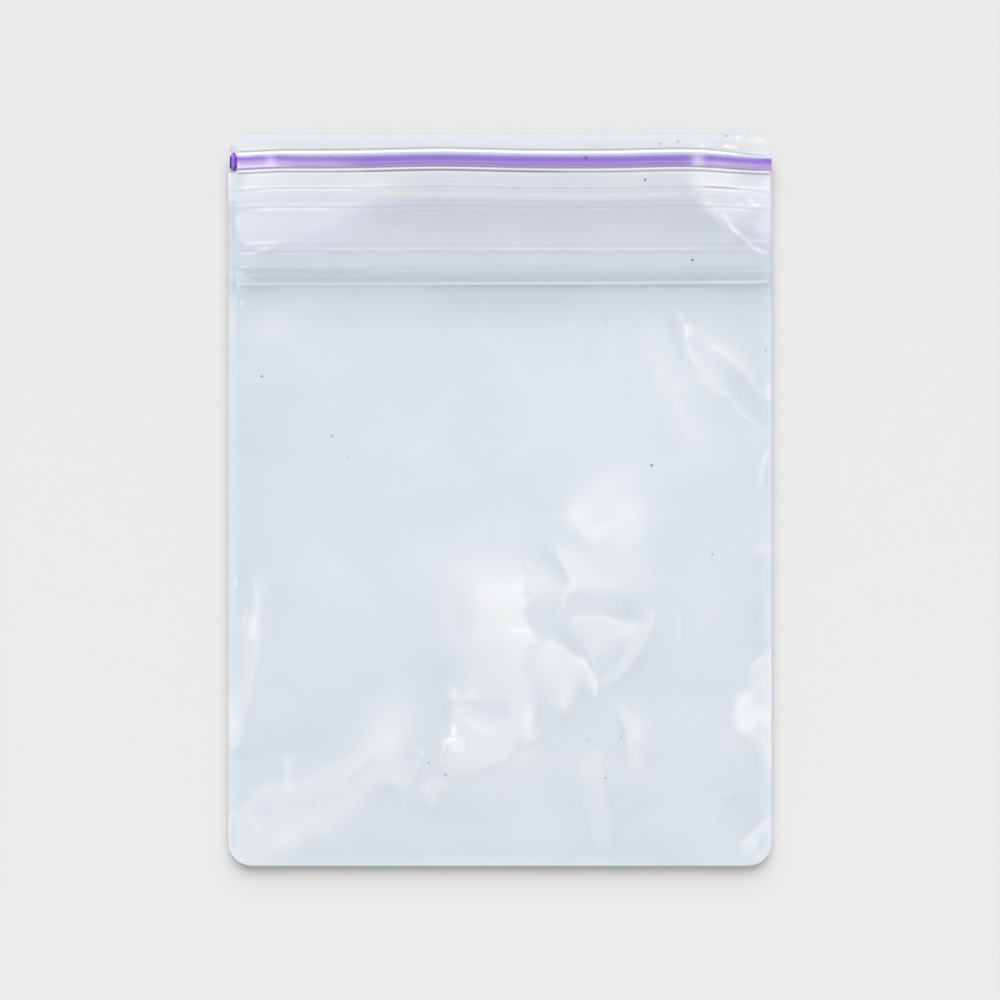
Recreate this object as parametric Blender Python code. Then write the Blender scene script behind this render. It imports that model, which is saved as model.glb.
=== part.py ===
"""A small clear press-to-close bag, empty and shut, lying flat with its front up.

Units are metres. +Z is up, +Y runs towards the closure, and +X to the right of the
bag's front. The origin is on the surface that the bag lies on, under the middle of
its outline. Three solids make the bag: the clear film pouch, the violet closure
track pressed shut across its top, and the clear strip that seals the closure's tape
to the pouch. Each lies in its own groove in the pouch, with a narrow gap all round.
"""

import math
from collections import namedtuple

import bmesh
import bpy

# Outline of the bag
BAG_WIDTH = 0.100
BAG_LENGTH = 0.1346
CORNER_RADIUS = 0.0043

# Height of the underside at the outline, and how far in it comes down to the table
EDGE_LIFT = 0.0012
LIFT_REACH = 0.012

# Thickness of the pouch: at its welded edge, at the closure's tape and in the body
EDGE_THICKNESS = 0.0005
TAPE_THICKNESS = 0.0010
BODY_THICKNESS = 0.0040
PUFF_REACH = 0.022
SIDE_WELD_WIDTH = 0.0020

# The violet closure track, which lies near the top edge and is melted at its left end
TRACK_Y = 0.0626
TRACK_WIDTH = 0.0027
TRACK_HEIGHT = 0.0016
TRACK_VALLEY = 0.0002
RIDGE_HEIGHT = 0.0010
RIDGE_REACH = 0.0034
BEAD_LENGTH = 0.0037
BEAD_WIDTH = 0.0017
BEAD_SWELL = 1.2
# The bead's form: share of its width from the outline, then its size along Y and up Z
BEAD_FORM = ((0.00, 0.60, 0.60), (0.15, 0.85, 0.90), (0.50, 1.00, 1.00), (0.85, 0.90, 0.92))

# The clear strip where the closure's tape is sealed to the pouch
STRIP_Y = 0.04125
STRIP_WIDTH = 0.0025
STRIP_HEIGHT = 0.0009
STRIP_VALLEY = 0.0001

# Ribs moulded across the tape, which give fingers a grip
RIB_ROWS = (0.0575, 0.0561, 0.0542, 0.0474, 0.0460)
RIB_HEIGHT = 0.00025
RIB_HALF_WIDTH = 0.0003

# The grooves that hold the track and the strip
GAP = 0.0003
GROOVE_FLOOR = 0.0004
WALL_RUN = 0.00005
OPEN_END = 0.00002

# The track isn't straight: two low humps, and a droop at each end
WAVE_HUMPS = ((-0.011, 0.012, 0.00035), (0.033, 0.009, 0.00028))
LEFT_DROOP = 0.0004
RIGHT_DROOP = 0.0009
DROOP_REACH = 0.011

# Soft folds of the front: start, end, half-width, height
SOFT_FOLDS = (
    ((-0.046, -0.060), (-0.024, -0.045), 0.0060, 0.0006),
    ((-0.024, -0.045), (0.004, -0.034), 0.0055, 0.0008),
    ((-0.004, -0.020), (0.001, -0.012), 0.0065, 0.0009),
    ((0.012, -0.006), (0.024, -0.002), 0.0060, 0.0009),
    ((0.010, -0.023), (0.026, -0.024), 0.0045, 0.0009),
    ((0.020, -0.032), (0.014, -0.037), 0.0040, 0.0008),
    ((0.043, -0.033), (0.047, -0.045), 0.0045, 0.0010),
    ((-0.044, -0.018), (-0.048, -0.044), 0.0030, 0.0007),
    ((0.035, 0.031), (0.048, 0.012), 0.0035, 0.0006),
    ((0.028, 0.031), (0.033, 0.016), 0.0045, 0.0005),
    ((0.016, -0.050), (0.019, -0.060), 0.0040, 0.0005),
)

# Colours of the plastics, in linear light
CLEAR_COLOUR = (0.78, 0.83, 0.90)
VIOLET_COLOUR = (0.32, 0.16, 0.62)
STRIP_COLOUR = (0.66, 0.72, 0.80)

# A groove runs across the pouch, under the piece that it holds. A row of the pouch's
# grid lies at y, or belongs to one side of a groove, on its shoulder or sunk to its floor.
Groove = namedtuple("Groove", "middle piece_width")
Row = namedtuple("Row", "y groove side sunk")
TRACK_GROOVE = Groove(TRACK_Y, TRACK_WIDTH)
STRIP_GROOVE = Groove(STRIP_Y, STRIP_WIDTH)

# How finely the pouch and the two bars are divided, and shaded
BODY_SPANS = 34
COLUMN_SPANS = 40
CORNER_STEPS = 5
TRACK_SPANS = 36
STRIP_SPANS = 28
SHARP_DEGREES = 35.0


def rise(t):
    """A quarter sine: 0 up to t = 0, 1 from t = 1, with a level top."""
    return math.sin(0.5 * math.pi * min(max(t, 0.0), 1.0))


def ease(t):
    """3t^2 - 2t^3: 0 up to t = 0, 1 from t = 1, level at both ends."""
    t = min(max(t, 0.0), 1.0)
    return t * t * (3.0 - 2.0 * t)


def bump(t):
    """A bell, exp(-t^2)."""
    return math.exp(-t * t)


def half_width(y):
    """Half of the outline's width at y: straight sides, and an arc at each corner."""
    past_straight = abs(y) - (BAG_LENGTH / 2 - CORNER_RADIUS)
    if past_straight <= 0.0:
        return BAG_WIDTH / 2
    inside_arc = max(CORNER_RADIUS**2 - past_straight**2, 0.0)
    return BAG_WIDTH / 2 - CORNER_RADIUS + math.sqrt(inside_arc)


def closure_wave(x):
    """How far the closure wanders from a straight line across the bag."""
    humps = sum(height * bump((x - middle) / spread) for middle, spread, height in WAVE_HUMPS)
    left = LEFT_DROOP * ease((-BAG_WIDTH / 2 - x) / DROOP_REACH + 1.0)
    right = RIGHT_DROOP * ease((x - BAG_WIDTH / 2) / DROOP_REACH + 1.0)
    return humps - left - right


def wave_share(y):
    """Share of the closure's wave that a row takes: all at the track, none at the ends."""
    if y > TRACK_Y:
        from_top = BAG_LENGTH / 2 - y
        return ease(from_top / (BAG_LENGTH / 2 - TRACK_Y - BEAD_LENGTH / 2))
    return ease((y - STRIP_Y) / (TRACK_Y - STRIP_Y - BEAD_LENGTH))


def underside(x, y):
    """Flat on the table under the bag, and lifted a little towards the outline."""
    from_side = (half_width(y) - abs(x)) / LIFT_REACH
    from_end = (BAG_LENGTH / 2 - abs(y)) / LIFT_REACH
    return EDGE_LIFT * (1.0 - ease(from_side) * ease(from_end))


def distance_to_fold(x, y, start, end):
    """Distance from a point to the line between a fold's two ends."""
    along = (end[0] - start[0], end[1] - start[1])
    reach = along[0] ** 2 + along[1] ** 2
    share = ((x - start[0]) * along[0] + (y - start[1]) * along[1]) / reach
    share = min(max(share, 0.0), 1.0)
    return math.hypot(x - start[0] - share * along[0], y - start[1] - share * along[1])


def folds(x, y):
    """The soft folds of the front, as the highest fold near a point."""
    heights = [
        height * bump(distance_to_fold(x, y, start, end) / width)
        for start, end, width, height in SOFT_FOLDS
    ]
    return max(heights)


def body_puff(x, y):
    """The air in the body: 1 over its middle, 0 at the welds and at the seal strip."""
    from_side = half_width(y) - abs(x) - SIDE_WELD_WIDTH
    from_bottom = y + BAG_LENGTH / 2
    from_strip = STRIP_Y - STRIP_WIDTH / 2 - GAP - y
    puff = rise(from_side / PUFF_REACH) * rise(from_bottom / PUFF_REACH)
    return puff * rise(from_strip / PUFF_REACH)


def rib_relief(y):
    """Height of the grip ribs at y: 1 on a crest, 0 past its foot."""
    nearest = min(abs(y - rib) for rib in RIB_ROWS)
    return RIB_HEIGHT * max(1.0 - nearest / RIB_HALF_WIDTH, 0.0)


def closure_relief(y):
    """What the tape, the ridge over the track and the grip ribs add to the thickness."""
    if y < STRIP_Y - STRIP_WIDTH:
        return 0.0
    tape = (TAPE_THICKNESS - EDGE_THICKNESS) * ease((BAG_LENGTH / 2 - y) / SIDE_WELD_WIDTH)
    ridge = RIDGE_HEIGHT * ease(1.0 - (abs(y - TRACK_Y) - TRACK_WIDTH / 2) / RIDGE_REACH)
    return tape + ridge + rib_relief(y)


def thickness(x, y, row_y):
    """Thickness of the pouch at x, y, on the row that lies at row_y before its wave."""
    welded = ease((half_width(y) - abs(x)) / SIDE_WELD_WIDTH)
    puff = body_puff(x, y)
    body = (BODY_THICKNESS - EDGE_THICKNESS) * puff + folds(x, y) * ease(4.0 * puff)
    return EDGE_THICKNESS + closure_relief(row_y) * welded + body


def groove_half_width(groove, x):
    """Half of a groove's width at x. The track's opens at its left end for the bead."""
    half = groove.piece_width / 2 + GAP
    if groove is TRACK_GROOVE:
        past_bead = (x + BAG_WIDTH / 2 - BEAD_WIDTH) / SIDE_WELD_WIDTH
        half += (BEAD_LENGTH - TRACK_WIDTH) / 2 * (1.0 - ease(past_bead))
    return half


def plain_row(y):
    """A row of the pouch away from the grooves."""
    return Row(y, None, 0, False)


def groove_rows(groove):
    """Four rows across a groove: a shoulder and the floor's edge on each side."""
    half = groove.piece_width / 2 + GAP
    return [
        Row(groove.middle + side * half, groove, side, sunk)
        for side, sunk in ((-1, False), (-1, True), (1, True), (1, False))
    ]


def pouch_rows():
    """Every row of the pouch's grid, from the bottom edge to the top edge."""
    half_length = BAG_LENGTH / 2
    arc = [
        CORNER_RADIUS * (1.0 - math.cos(0.5 * math.pi * step / CORNER_STEPS))
        for step in range(CORNER_STEPS + 1)
    ]
    body_start = CORNER_RADIUS - half_length
    body_end = STRIP_Y - STRIP_WIDTH / 2 - GAP
    body_step = (body_end - body_start) / BODY_SPANS
    rows = [plain_row(inset - half_length) for inset in arc]
    rows += [plain_row(body_start + body_step * step) for step in range(1, BODY_SPANS)]
    rows += groove_rows(STRIP_GROOVE)
    for rib in sorted(RIB_ROWS):
        rows += [plain_row(rib + side * RIB_HALF_WIDTH) for side in (-1, 0, 1)]
    rows += groove_rows(TRACK_GROOVE)
    lip_start = TRACK_Y + BEAD_LENGTH / 2 + GAP
    lip = [plain_row(half_length - inset) for inset in reversed(arc)]
    return rows + [row for row in lip if row.y > lip_start]


def pouch_columns():
    """Where the grid's columns run, from -1 to 1, with one at each weld's inner edge."""
    weld = 1.0 - 2.0 * SIDE_WELD_WIDTH / BAG_WIDTH
    inner = [weld * (2.0 * step / COLUMN_SPANS - 1.0) for step in range(COLUMN_SPANS + 1)]
    return [-1.0, *inner, 1.0]


def grid_point(row, column):
    """Plan position of a grid point, and its height on the back and on the front."""
    straight_x = column * BAG_WIDTH / 2
    wave = closure_wave(straight_x)
    if row.groove:
        inset = WALL_RUN if row.sunk else 0.0
        reach = groove_half_width(row.groove, straight_x) - inset
        y = row.groove.middle + row.side * reach + wave * wave_share(row.groove.middle)
    else:
        y = row.y + wave * wave_share(row.y)
    x = column * half_width(y)
    back = underside(x, y)
    # The seal strip stops at the left weld, so its groove closes there.
    closed_end = row.groove is STRIP_GROOVE and column == -1.0
    if row.sunk and not closed_end:
        return x, y, back, back + GROOVE_FLOOR
    return x, y, back, back + thickness(x, y, row.y)


def clear_scene():
    """Removes what the startup scene holds."""
    for obj in list(bpy.data.objects):
        bpy.data.objects.remove(obj, do_unlink=True)


def plastic(name, colour, roughness, alpha=1.0):
    """A Principled material of a plain plastic."""
    material = bpy.data.materials.new(name)
    material.use_nodes = True
    shader = material.node_tree.nodes["Principled BSDF"]
    shader.inputs["Base Color"].default_value = (*colour, 1.0)
    shader.inputs["Roughness"].default_value = roughness
    shader.inputs["Metallic"].default_value = 0.0
    shader.inputs["Alpha"].default_value = alpha
    return material


def add_object(name, mesh_maker, material, parent, location=(0.0, 0.0, 0.0)):
    """Puts the faces that mesh_maker adds to a bmesh into the scene as one object."""
    shape = bmesh.new()
    mesh_maker(shape)
    bmesh.ops.recalc_face_normals(shape, faces=shape.faces)
    mesh = bpy.data.meshes.new(name)
    shape.to_mesh(mesh)
    shape.free()
    mesh.materials.append(material)
    mesh.shade_smooth()
    mesh.set_sharp_from_angle(angle=math.radians(SHARP_DEGREES))
    obj = bpy.data.objects.new(name, mesh)
    bpy.context.collection.objects.link(obj)
    obj.parent = parent
    obj.location = location
    return obj


def make_pouch(shape):
    """A front grid and a back grid over the rounded outline, joined along their rim."""
    rows = pouch_rows()
    columns = pouch_columns()
    front = []
    back = []
    for row in rows:
        points = [grid_point(row, column) for column in columns]
        back.append([shape.verts.new((x, y, low)) for x, y, low, _ in points])
        front.append([shape.verts.new((x, y, high)) for x, y, _, high in points])
    last_row = len(rows) - 1
    last_column = len(columns) - 1
    for j in range(last_row):
        for i in range(last_column):
            shape.faces.new((front[j][i], front[j][i + 1], front[j + 1][i + 1], front[j + 1][i]))
            shape.faces.new((back[j][i], back[j + 1][i], back[j + 1][i + 1], back[j][i + 1]))
        for i in (0, last_column):
            shape.faces.new((front[j][i], front[j + 1][i], back[j + 1][i], back[j][i]))
    for j in (0, last_row):
        for i in range(last_column):
            shape.faces.new((front[j][i], front[j][i + 1], back[j][i + 1], back[j][i]))


def bar_profile(width, height, valley):
    """Cross-section of a bar in Y and Z: flat base, chamfered edges, a valley on top."""
    side = width / 2
    chamfer = height / 4
    return [
        (-side + chamfer, 0.0),
        (side - chamfer, 0.0),
        (side, chamfer),
        (side, height - chamfer),
        (side - chamfer, height),
        (side / 4, height),
        (0.0, height - valley),
        (-side / 4, height),
        (-side + chamfer, height),
        (-side, height - chamfer),
        (-side, chamfer),
    ]


def sweep_bar(shape, profile, stations):
    """Carries a profile along X; a station is x, y, z and the section's two scales."""
    rings = [
        [shape.verts.new((x, y + v * wide, z + w * tall)) for v, w in profile]
        for x, y, z, wide, tall in stations
    ]
    corners = len(profile)
    for ring, following in zip(rings, rings[1:]):
        for k in range(corners):
            after = (k + 1) % corners
            shape.faces.new((ring[k], ring[after], following[after], following[k]))
    shape.faces.new(rings[0])
    shape.faces.new(reversed(rings[-1]))


def make_track(shape):
    """The violet track about its own centre line: a melted bead, then an even bar."""
    left = -BAG_WIDTH / 2 + OPEN_END
    bar_start = left + BEAD_WIDTH
    bar_step = (BAG_WIDTH / 2 - OPEN_END - bar_start) / TRACK_SPANS
    swell = BEAD_LENGTH / TRACK_WIDTH
    sections = [
        (left + BEAD_WIDTH * share, swell * wide, BEAD_SWELL * tall)
        for share, wide, tall in BEAD_FORM
    ]
    sections += [(bar_start + bar_step * step, 1.0, 1.0) for step in range(TRACK_SPANS + 1)]
    stations = []
    for x, wide, tall in sections:
        wave = closure_wave(x)
        seat = underside(x, TRACK_Y + wave) + GROOVE_FLOOR + GAP
        stations.append((x, wave, seat, wide, tall))
    sweep_bar(shape, bar_profile(TRACK_WIDTH, TRACK_HEIGHT, TRACK_VALLEY), stations)


def make_strip(shape):
    """The clear seal strip, from the inner edge of the left weld to the right edge."""
    left = -BAG_WIDTH / 2 + SIDE_WELD_WIDTH + GAP
    step = (BAG_WIDTH / 2 - OPEN_END - left) / STRIP_SPANS
    stations = []
    for x in (left + step * index for index in range(STRIP_SPANS + 1)):
        seat = underside(x, STRIP_Y) + GROOVE_FLOOR + GAP
        stations.append((x, 0.0, seat, 1.0, 1.0))
    sweep_bar(shape, bar_profile(STRIP_WIDTH, STRIP_HEIGHT, STRIP_VALLEY), stations)


def main():
    clear_scene()
    bag = bpy.data.objects.new("bag", None)
    bpy.context.collection.objects.link(bag)
    clear_film = plastic("clear_film", CLEAR_COLOUR, 0.18, alpha=0.45)
    violet = plastic("violet_plastic", VIOLET_COLOUR, 0.30)
    clear_strip = plastic("clear_strip", STRIP_COLOUR, 0.22, alpha=0.60)
    add_object("film_pouch", make_pouch, clear_film, bag)
    add_object("closure_track", make_track, violet, bag, location=(0.0, TRACK_Y, 0.0))
    add_object("seal_strip", make_strip, clear_strip, bag, location=(0.0, STRIP_Y, 0.0))


main()
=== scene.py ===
# %% [markdown]
# # A small clear press-to-close bag
#
# This lesson builds the look of an empty food bag that lies flat with its front up. The real
# bag is two thin clear films, welded down both sides, with a violet closure track pressed shut
# near the top edge. Clear film has hardly any colour of its own. What we see of it is gloss on
# its wrinkles, a cool haze, and places where the two films part and look milky. So the lesson
# spends most of its work on one wrinkled surface and on the haze that goes with each wrinkle.

import math
from collections import namedtuple

import bpy
import numpy as np
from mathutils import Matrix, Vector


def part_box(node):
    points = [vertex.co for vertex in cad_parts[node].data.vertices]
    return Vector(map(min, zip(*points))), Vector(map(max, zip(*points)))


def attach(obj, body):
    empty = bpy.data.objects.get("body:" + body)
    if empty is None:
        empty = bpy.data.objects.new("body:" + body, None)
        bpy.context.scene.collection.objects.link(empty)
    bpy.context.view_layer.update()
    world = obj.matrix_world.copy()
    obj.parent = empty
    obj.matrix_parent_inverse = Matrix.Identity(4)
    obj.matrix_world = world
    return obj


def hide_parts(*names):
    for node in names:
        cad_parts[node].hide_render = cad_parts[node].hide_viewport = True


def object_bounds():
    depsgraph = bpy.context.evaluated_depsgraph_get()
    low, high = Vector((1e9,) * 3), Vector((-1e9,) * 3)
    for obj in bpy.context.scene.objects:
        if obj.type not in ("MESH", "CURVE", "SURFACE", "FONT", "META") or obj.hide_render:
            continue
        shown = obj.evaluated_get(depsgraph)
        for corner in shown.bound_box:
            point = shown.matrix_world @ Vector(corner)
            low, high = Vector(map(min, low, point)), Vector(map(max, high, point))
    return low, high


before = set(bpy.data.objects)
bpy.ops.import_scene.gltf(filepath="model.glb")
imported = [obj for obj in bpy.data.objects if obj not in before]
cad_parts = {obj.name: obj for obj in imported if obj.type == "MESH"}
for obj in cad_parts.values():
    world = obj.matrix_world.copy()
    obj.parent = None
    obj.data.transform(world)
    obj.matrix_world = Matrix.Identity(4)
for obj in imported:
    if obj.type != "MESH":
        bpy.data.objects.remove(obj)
cad_low, cad_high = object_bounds()
MM = 0.001
print("solid pieces:", ", ".join(sorted(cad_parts)))
print("solid model, mm:", [round(side / MM, 1) for side in cad_high - cad_low])

# %% [markdown]
# ## Surfaces from grids of points
#
# Every piece here is a surface over two numbers, such as a row and a column of the film, or the
# way along a bar and the way round it. Modelling tools could shape such pieces one edit at a
# time. Worked out with numpy as whole arrays, they have no stray points and change with one
# number. These helpers list a grid's faces and put the points into a mesh, with the object at
# the origin, so that a material's own coordinates are the bag's.


# %% Helpers that put a grid of points into a mesh
def grid_faces(rows, columns, closed=False):
    """Quads of a grid whose point (r, c) has index r * columns + c. A closed grid also joins
    each row's last column to its first."""
    spans = columns if closed else columns - 1
    r, c = np.meshgrid(np.arange(rows - 1), np.arange(spans), indexing="ij")
    after = (c + 1) % columns
    corners = (r * columns + c, r * columns + after, (r + 1) * columns + after)
    return np.stack((*corners, (r + 1) * columns + c), axis=-1).reshape(-1, 4)


def fan(tip, ring):
    """A triangle from the tip to each side of a closed ring of indices."""
    return np.stack((np.full(len(ring), tip), ring, np.roll(ring, -1)), axis=-1)


def new_piece(name, points_mm, faces, material, sharp_degrees=50.0):
    """A smooth-shaded mesh object at the origin, from points in millimetres."""
    mesh = bpy.data.meshes.new(name)
    mesh.from_pydata((np.asarray(points_mm) * MM).tolist(), [], faces)
    mesh.validate()
    mesh.shade_smooth()
    mesh.set_sharp_from_angle(angle=math.radians(sharp_degrees))
    mesh.materials.append(material)
    piece = bpy.data.objects.new(name, mesh)
    bpy.context.scene.collection.objects.link(piece)
    triangles = sum(len(polygon.vertices) - 2 for polygon in mesh.polygons)
    print(name, triangles, "triangles")
    return piece


def paint_points(piece, name, values):
    """Stores one number on each point, which a material reads by its name."""
    layer = piece.data.attributes.new(name, "FLOAT", "POINT")
    layer.data.foreach_set("value", np.asarray(values, np.float32).ravel())


# %% [markdown]
# ## Materials written as sums
#
# A material is a tree of nodes. Written out one node at a time it is hard to read, so one small
# class stands for a socket's output, and Python's own signs add the Math nodes. Everything else
# comes from a single method that takes a node's type, its settings and its inputs.


# %% Sums on wires
class Wire:
    """A number or colour that flows out of a node; + - and * on number wires add Math nodes."""

    def __init__(self, finish, socket):
        self.finish = finish
        self.socket = socket

    def math(self, operation, first, second):
        """A Math node on two numbers."""
        return self.finish.node("ShaderNodeMath", {"operation": operation}, {0: first, 1: second})

    def __add__(self, other):
        return self.math("ADD", self, other)

    def __radd__(self, other):
        return self.math("ADD", other, self)

    def __sub__(self, other):
        return self.math("SUBTRACT", self, other)

    def __rsub__(self, other):
        return self.math("SUBTRACT", other, self)

    def __neg__(self):
        return self.math("SUBTRACT", 0.0, self)

    def __mul__(self, other):
        return self.math("MULTIPLY", self, other)

    def __rmul__(self, other):
        return self.math("MULTIPLY", other, self)

    def clamped(self):
        """The wire's value, held between 0 and 1."""
        return self.math("MINIMUM", self.math("MAXIMUM", self, 0.0), 1.0)


# %% [markdown]
# A finish is one Principled material. Its methods are named for what a maker wants from them: a
# ramp or a mix of colours, a number painted on the points, clouds of noise, and a bump.


# %% Finishes
class Finish:
    """A Principled material and the one method that adds a node to it."""

    def __init__(self, name, **sockets):
        self.material = bpy.data.materials.new(name)
        self.material.use_nodes = True
        self.tree = self.material.node_tree
        self.shader = self.tree.nodes["Principled BSDF"]
        self.set(self.shader, {key.replace("_", " "): value for key, value in sockets.items()})

    def set(self, node, inputs):
        """Gives a node's sockets their values, or links a wire to them."""
        for key, value in inputs.items():
            socket = node.inputs[key]
            if isinstance(value, Wire):
                self.tree.links.new(value.socket, socket)
            elif socket.type == "RGBA":
                socket.default_value = (*value, 1.0)
            else:
                socket.default_value = value

    def node(self, kind, settings=None, inputs=None, output=0):
        """Adds a node: its settings first, a ramp's stops among them, then its sockets. Gives
        one of its outputs."""
        node = self.tree.nodes.new(kind)
        for key, value in (settings or {}).items():
            if key == "stops":
                self.set_stops(node.color_ramp.elements, value)
            else:
                setattr(node, key, value)
        self.set(node, inputs or {})
        return Wire(self, node.outputs[output])

    def set_stops(self, elements, stops):
        """Gives a colour ramp its stops: pairs of a position and a colour."""
        while len(elements) < len(stops):
            elements.new(1.0)
        for element, (position, colour) in zip(elements, stops):
            element.position = position
            element.color = (*colour, 1.0)

    def ramp(self, share, stops):
        """A colour that follows share from stop to stop."""
        return self.node("ShaderNodeValToRGB", {"stops": stops}, {"Fac": share}, "Color")

    def painted(self, name):
        """The number that paint_points stored under a name."""
        return self.node("ShaderNodeAttribute", {"attribute_name": name}, output="Fac")

    def mix(self, share, first, second):
        """The first colour where share is 0, the second where it is 1. A Mix node has its
        colour inputs at places 6 and 7 and its colour output at 2."""
        return self.node(
            "ShaderNodeMix", {"data_type": "RGBA"}, {0: share, 6: first, 7: second}, output=2
        )

    def noise(self, size_mm, detail=2.0, stretch=(1.0, 1.0, 1.0)):
        """Cloudy values about 0.5, whose blotches are size_mm across."""
        place = self.node("ShaderNodeTexCoord", output="Object")
        sized = self.node("ShaderNodeMapping", inputs={"Vector": place, "Scale": stretch})
        inputs = {"Vector": sized, "Scale": 1.0 / (size_mm * MM), "Detail": detail}
        return self.node("ShaderNodeTexNoise", inputs=inputs)

    def bump(self, height, strength, depth_mm):
        """A normal that leans as if the surface rose by height times depth_mm."""
        inputs = {"Height": height, "Strength": strength, "Distance": depth_mm * MM}
        return self.node("ShaderNodeBump", inputs=inputs, output="Normal")


# %% [markdown]
# ## The table, the light and the camera
#
# A bag that can't stand lies on a table, and the camera looks straight down on it. The table is a
# round sweep: a level floor that curves up into a low wall far away, so that a view from near the
# ground still ends in plain paper. A plane would leave a hard horizon. The sweep is a profile
# turned about the vertical, which a grid of radius and angle gives directly, and one many-sided
# face closes its middle.

# %% The table
MIDDLE_RADIUS = 200.0
FLOOR_RADIUS = 600.0
WALL_REACH = 700.0
WALL_HEIGHT = 300.0
FLOOR_GAP = 0.05
FLOOR_COLOUR = (0.55, 0.55, 0.55)


def sweep_points(turns=96, steps=24):
    """A level ring, then a quarter ellipse that rises: radius R + A sin(t), height H (1 - cos(t))
    for t from 0 to a quarter turn, carried round the vertical."""
    angle = np.linspace(0.0, 2.0 * np.pi, turns, endpoint=False)
    t = np.linspace(0.0, 0.5 * np.pi, steps)
    radius = np.concatenate(([MIDDLE_RADIUS], FLOOR_RADIUS + WALL_REACH * np.sin(t)))
    height = np.concatenate(([0.0], WALL_HEIGHT * (1.0 - np.cos(t)))) - FLOOR_GAP
    x = radius[:, None] * np.cos(angle)
    y = radius[:, None] * np.sin(angle)
    z = np.repeat(height[:, None], turns, axis=1)
    return np.stack((x, y, z), axis=-1)


paper = Finish("pale paper", Base_Color=FLOOR_COLOUR, Roughness=0.9, Specular_IOR_Level=0.0)
sweep = sweep_points()
rings, turns = sweep.shape[:2]
table_faces = grid_faces(rings, turns, closed=True)[:, ::-1].tolist()
table_faces.append(list(range(turns)))
table = new_piece("table", sweep.reshape(-1, 3), table_faces, paper.material)

# %% [markdown]
# Film shows two kinds of light: an even glow on its haze, and a mirror image of the lamp on each
# slope that faces the right way. One broad lamp beyond the closure gives most of the light and
# the soft shadow at the bag's foot. A smaller lamp beyond the foot gives the highlights. Both are
# suns with a wide disc, because a sun lights the table evenly from end to end.

# %% The lights
WORLD_LIGHT = 0.452
KEY = dict(tilt=-56.0, strength=5.60, disc=68.0)
FRONT = dict(tilt=36.0, strength=0.352, disc=14.0)


def add_sun(name, tilt, strength, disc):
    """A sun tilted about X, in degrees, whose disc is that many degrees wide in the sky."""
    lamp = bpy.data.lights.new(name, "SUN")
    lamp.energy = strength
    lamp.angle = math.radians(disc)
    sun = bpy.data.objects.new(name, lamp)
    sun.rotation_euler = (math.radians(tilt), 0.0, 0.0)
    bpy.context.scene.collection.objects.link(sun)
    print(name, "leans", tilt, "degrees")


add_sun("key light", **KEY)
add_sun("front light", **FRONT)
world = bpy.data.worlds.new("studio")
world.use_nodes = True
world.node_tree.nodes["Background"].inputs["Color"].default_value = (WORLD_LIGHT,) * 3 + (1.0,)
bpy.context.scene.world = world

# %% [markdown]
# A long lens keeps the outline free of perspective. The camera's height follows from it: the
# view is to be so many millimetres wide at the height of the bag's rim.

# %% The camera
VIEW_WIDTH = 184.16
RIM_HEIGHT = 1.5
LENS = 100.0
SENSOR = 36.0

lens = bpy.data.cameras.new("camera")
lens.lens = LENS
lens.sensor_width = SENSOR
lens.clip_start = 0.01
camera = bpy.data.objects.new("camera", lens)
distance_mm = VIEW_WIDTH * LENS / SENSOR
camera.location = (0.0, 0.0, (distance_mm + RIM_HEIGHT) * MM)
bpy.context.scene.collection.objects.link(camera)
bpy.context.scene.camera = camera
bpy.context.scene.view_settings.view_transform = "Standard"
print("camera height, mm:", round(distance_mm + RIM_HEIGHT))

# %% [markdown]
# ## The shape of the bag
#
# The front film is a height over a rounded outline. The outline and the air in the body are those
# of the solid model, the edges lift a little more off the table, and the closure wanders up and
# down much as it does there. A row is a line across the bag, named by the y that it has before
# that wandering moves it. Everything below is in millimetres.

# %% Sizes
# The outline, its corners and its welds
HALF_WIDTH = cad_high.x / MM
HALF_LENGTH = cad_high.y / MM
CORNER = 4.3
WELD_LEFT = 2.0
WELD_RIGHT = 0.6
# The rows of the closure, and where the lip starts above it
strip_low, strip_high = (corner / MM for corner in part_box("seal_strip"))
STRIP_ROW = round(0.5 * (strip_low.y + strip_high.y), 2)
STRIP_WIDTH = round(strip_high.y - strip_low.y, 2)
TRACK_ROW = 62.6
LIP_ROW = 64.2
LIP_BLEND = 1.4
# Heights, and how far in from the outline the lift of the back and of the front reaches
EDGE_LIFT = 1.45
LIP_LIFT = 0.7
AIR_HEIGHT = 3.5
FILM_GAP = 0.25
BACK_REACH = 12.0
FRONT_REACH = 20.0
track_low, track_high = (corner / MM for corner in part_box("closure_track"))
print("track between rows", round(track_low.y, 1), "and", round(track_high.y, 1))
print("seal strip at row", STRIP_ROW, "and", STRIP_WIDTH, "mm wide")


# %% Simple curves and the outline
def ease(t):
    """3 t^2 - 2 t^3, from 0 up to t = 0 to 1 from t = 1, level at both ends."""
    t = np.clip(t, 0.0, 1.0)
    return t * t * (3.0 - 2.0 * t)


def rise(t):
    """A quarter sine: 0 up to t = 0, 1 from t = 1, with a level top."""
    return np.sin(0.5 * np.pi * np.clip(t, 0.0, 1.0))


def bell(t):
    """exp(-t^2)."""
    return np.exp(-t * t)


def half_width(y):
    """Half of the outline's width at y: straight sides, and an arc at each corner."""
    past_straight = np.clip(np.abs(y) - (HALF_LENGTH - CORNER), 0.0, CORNER)
    return HALF_WIDTH - CORNER + np.sqrt(CORNER**2 - past_straight**2)


def from_side(x, y):
    """How far inside the nearer side of the outline a place lies."""
    return half_width(y) - np.abs(x)


# %% The closure's wandering, and the heights that the whole bag shares
# The whole wave holds this far above and below the track's row.
WAVE_ABOVE = 1.85
WAVE_BELOW = 3.7


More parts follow.
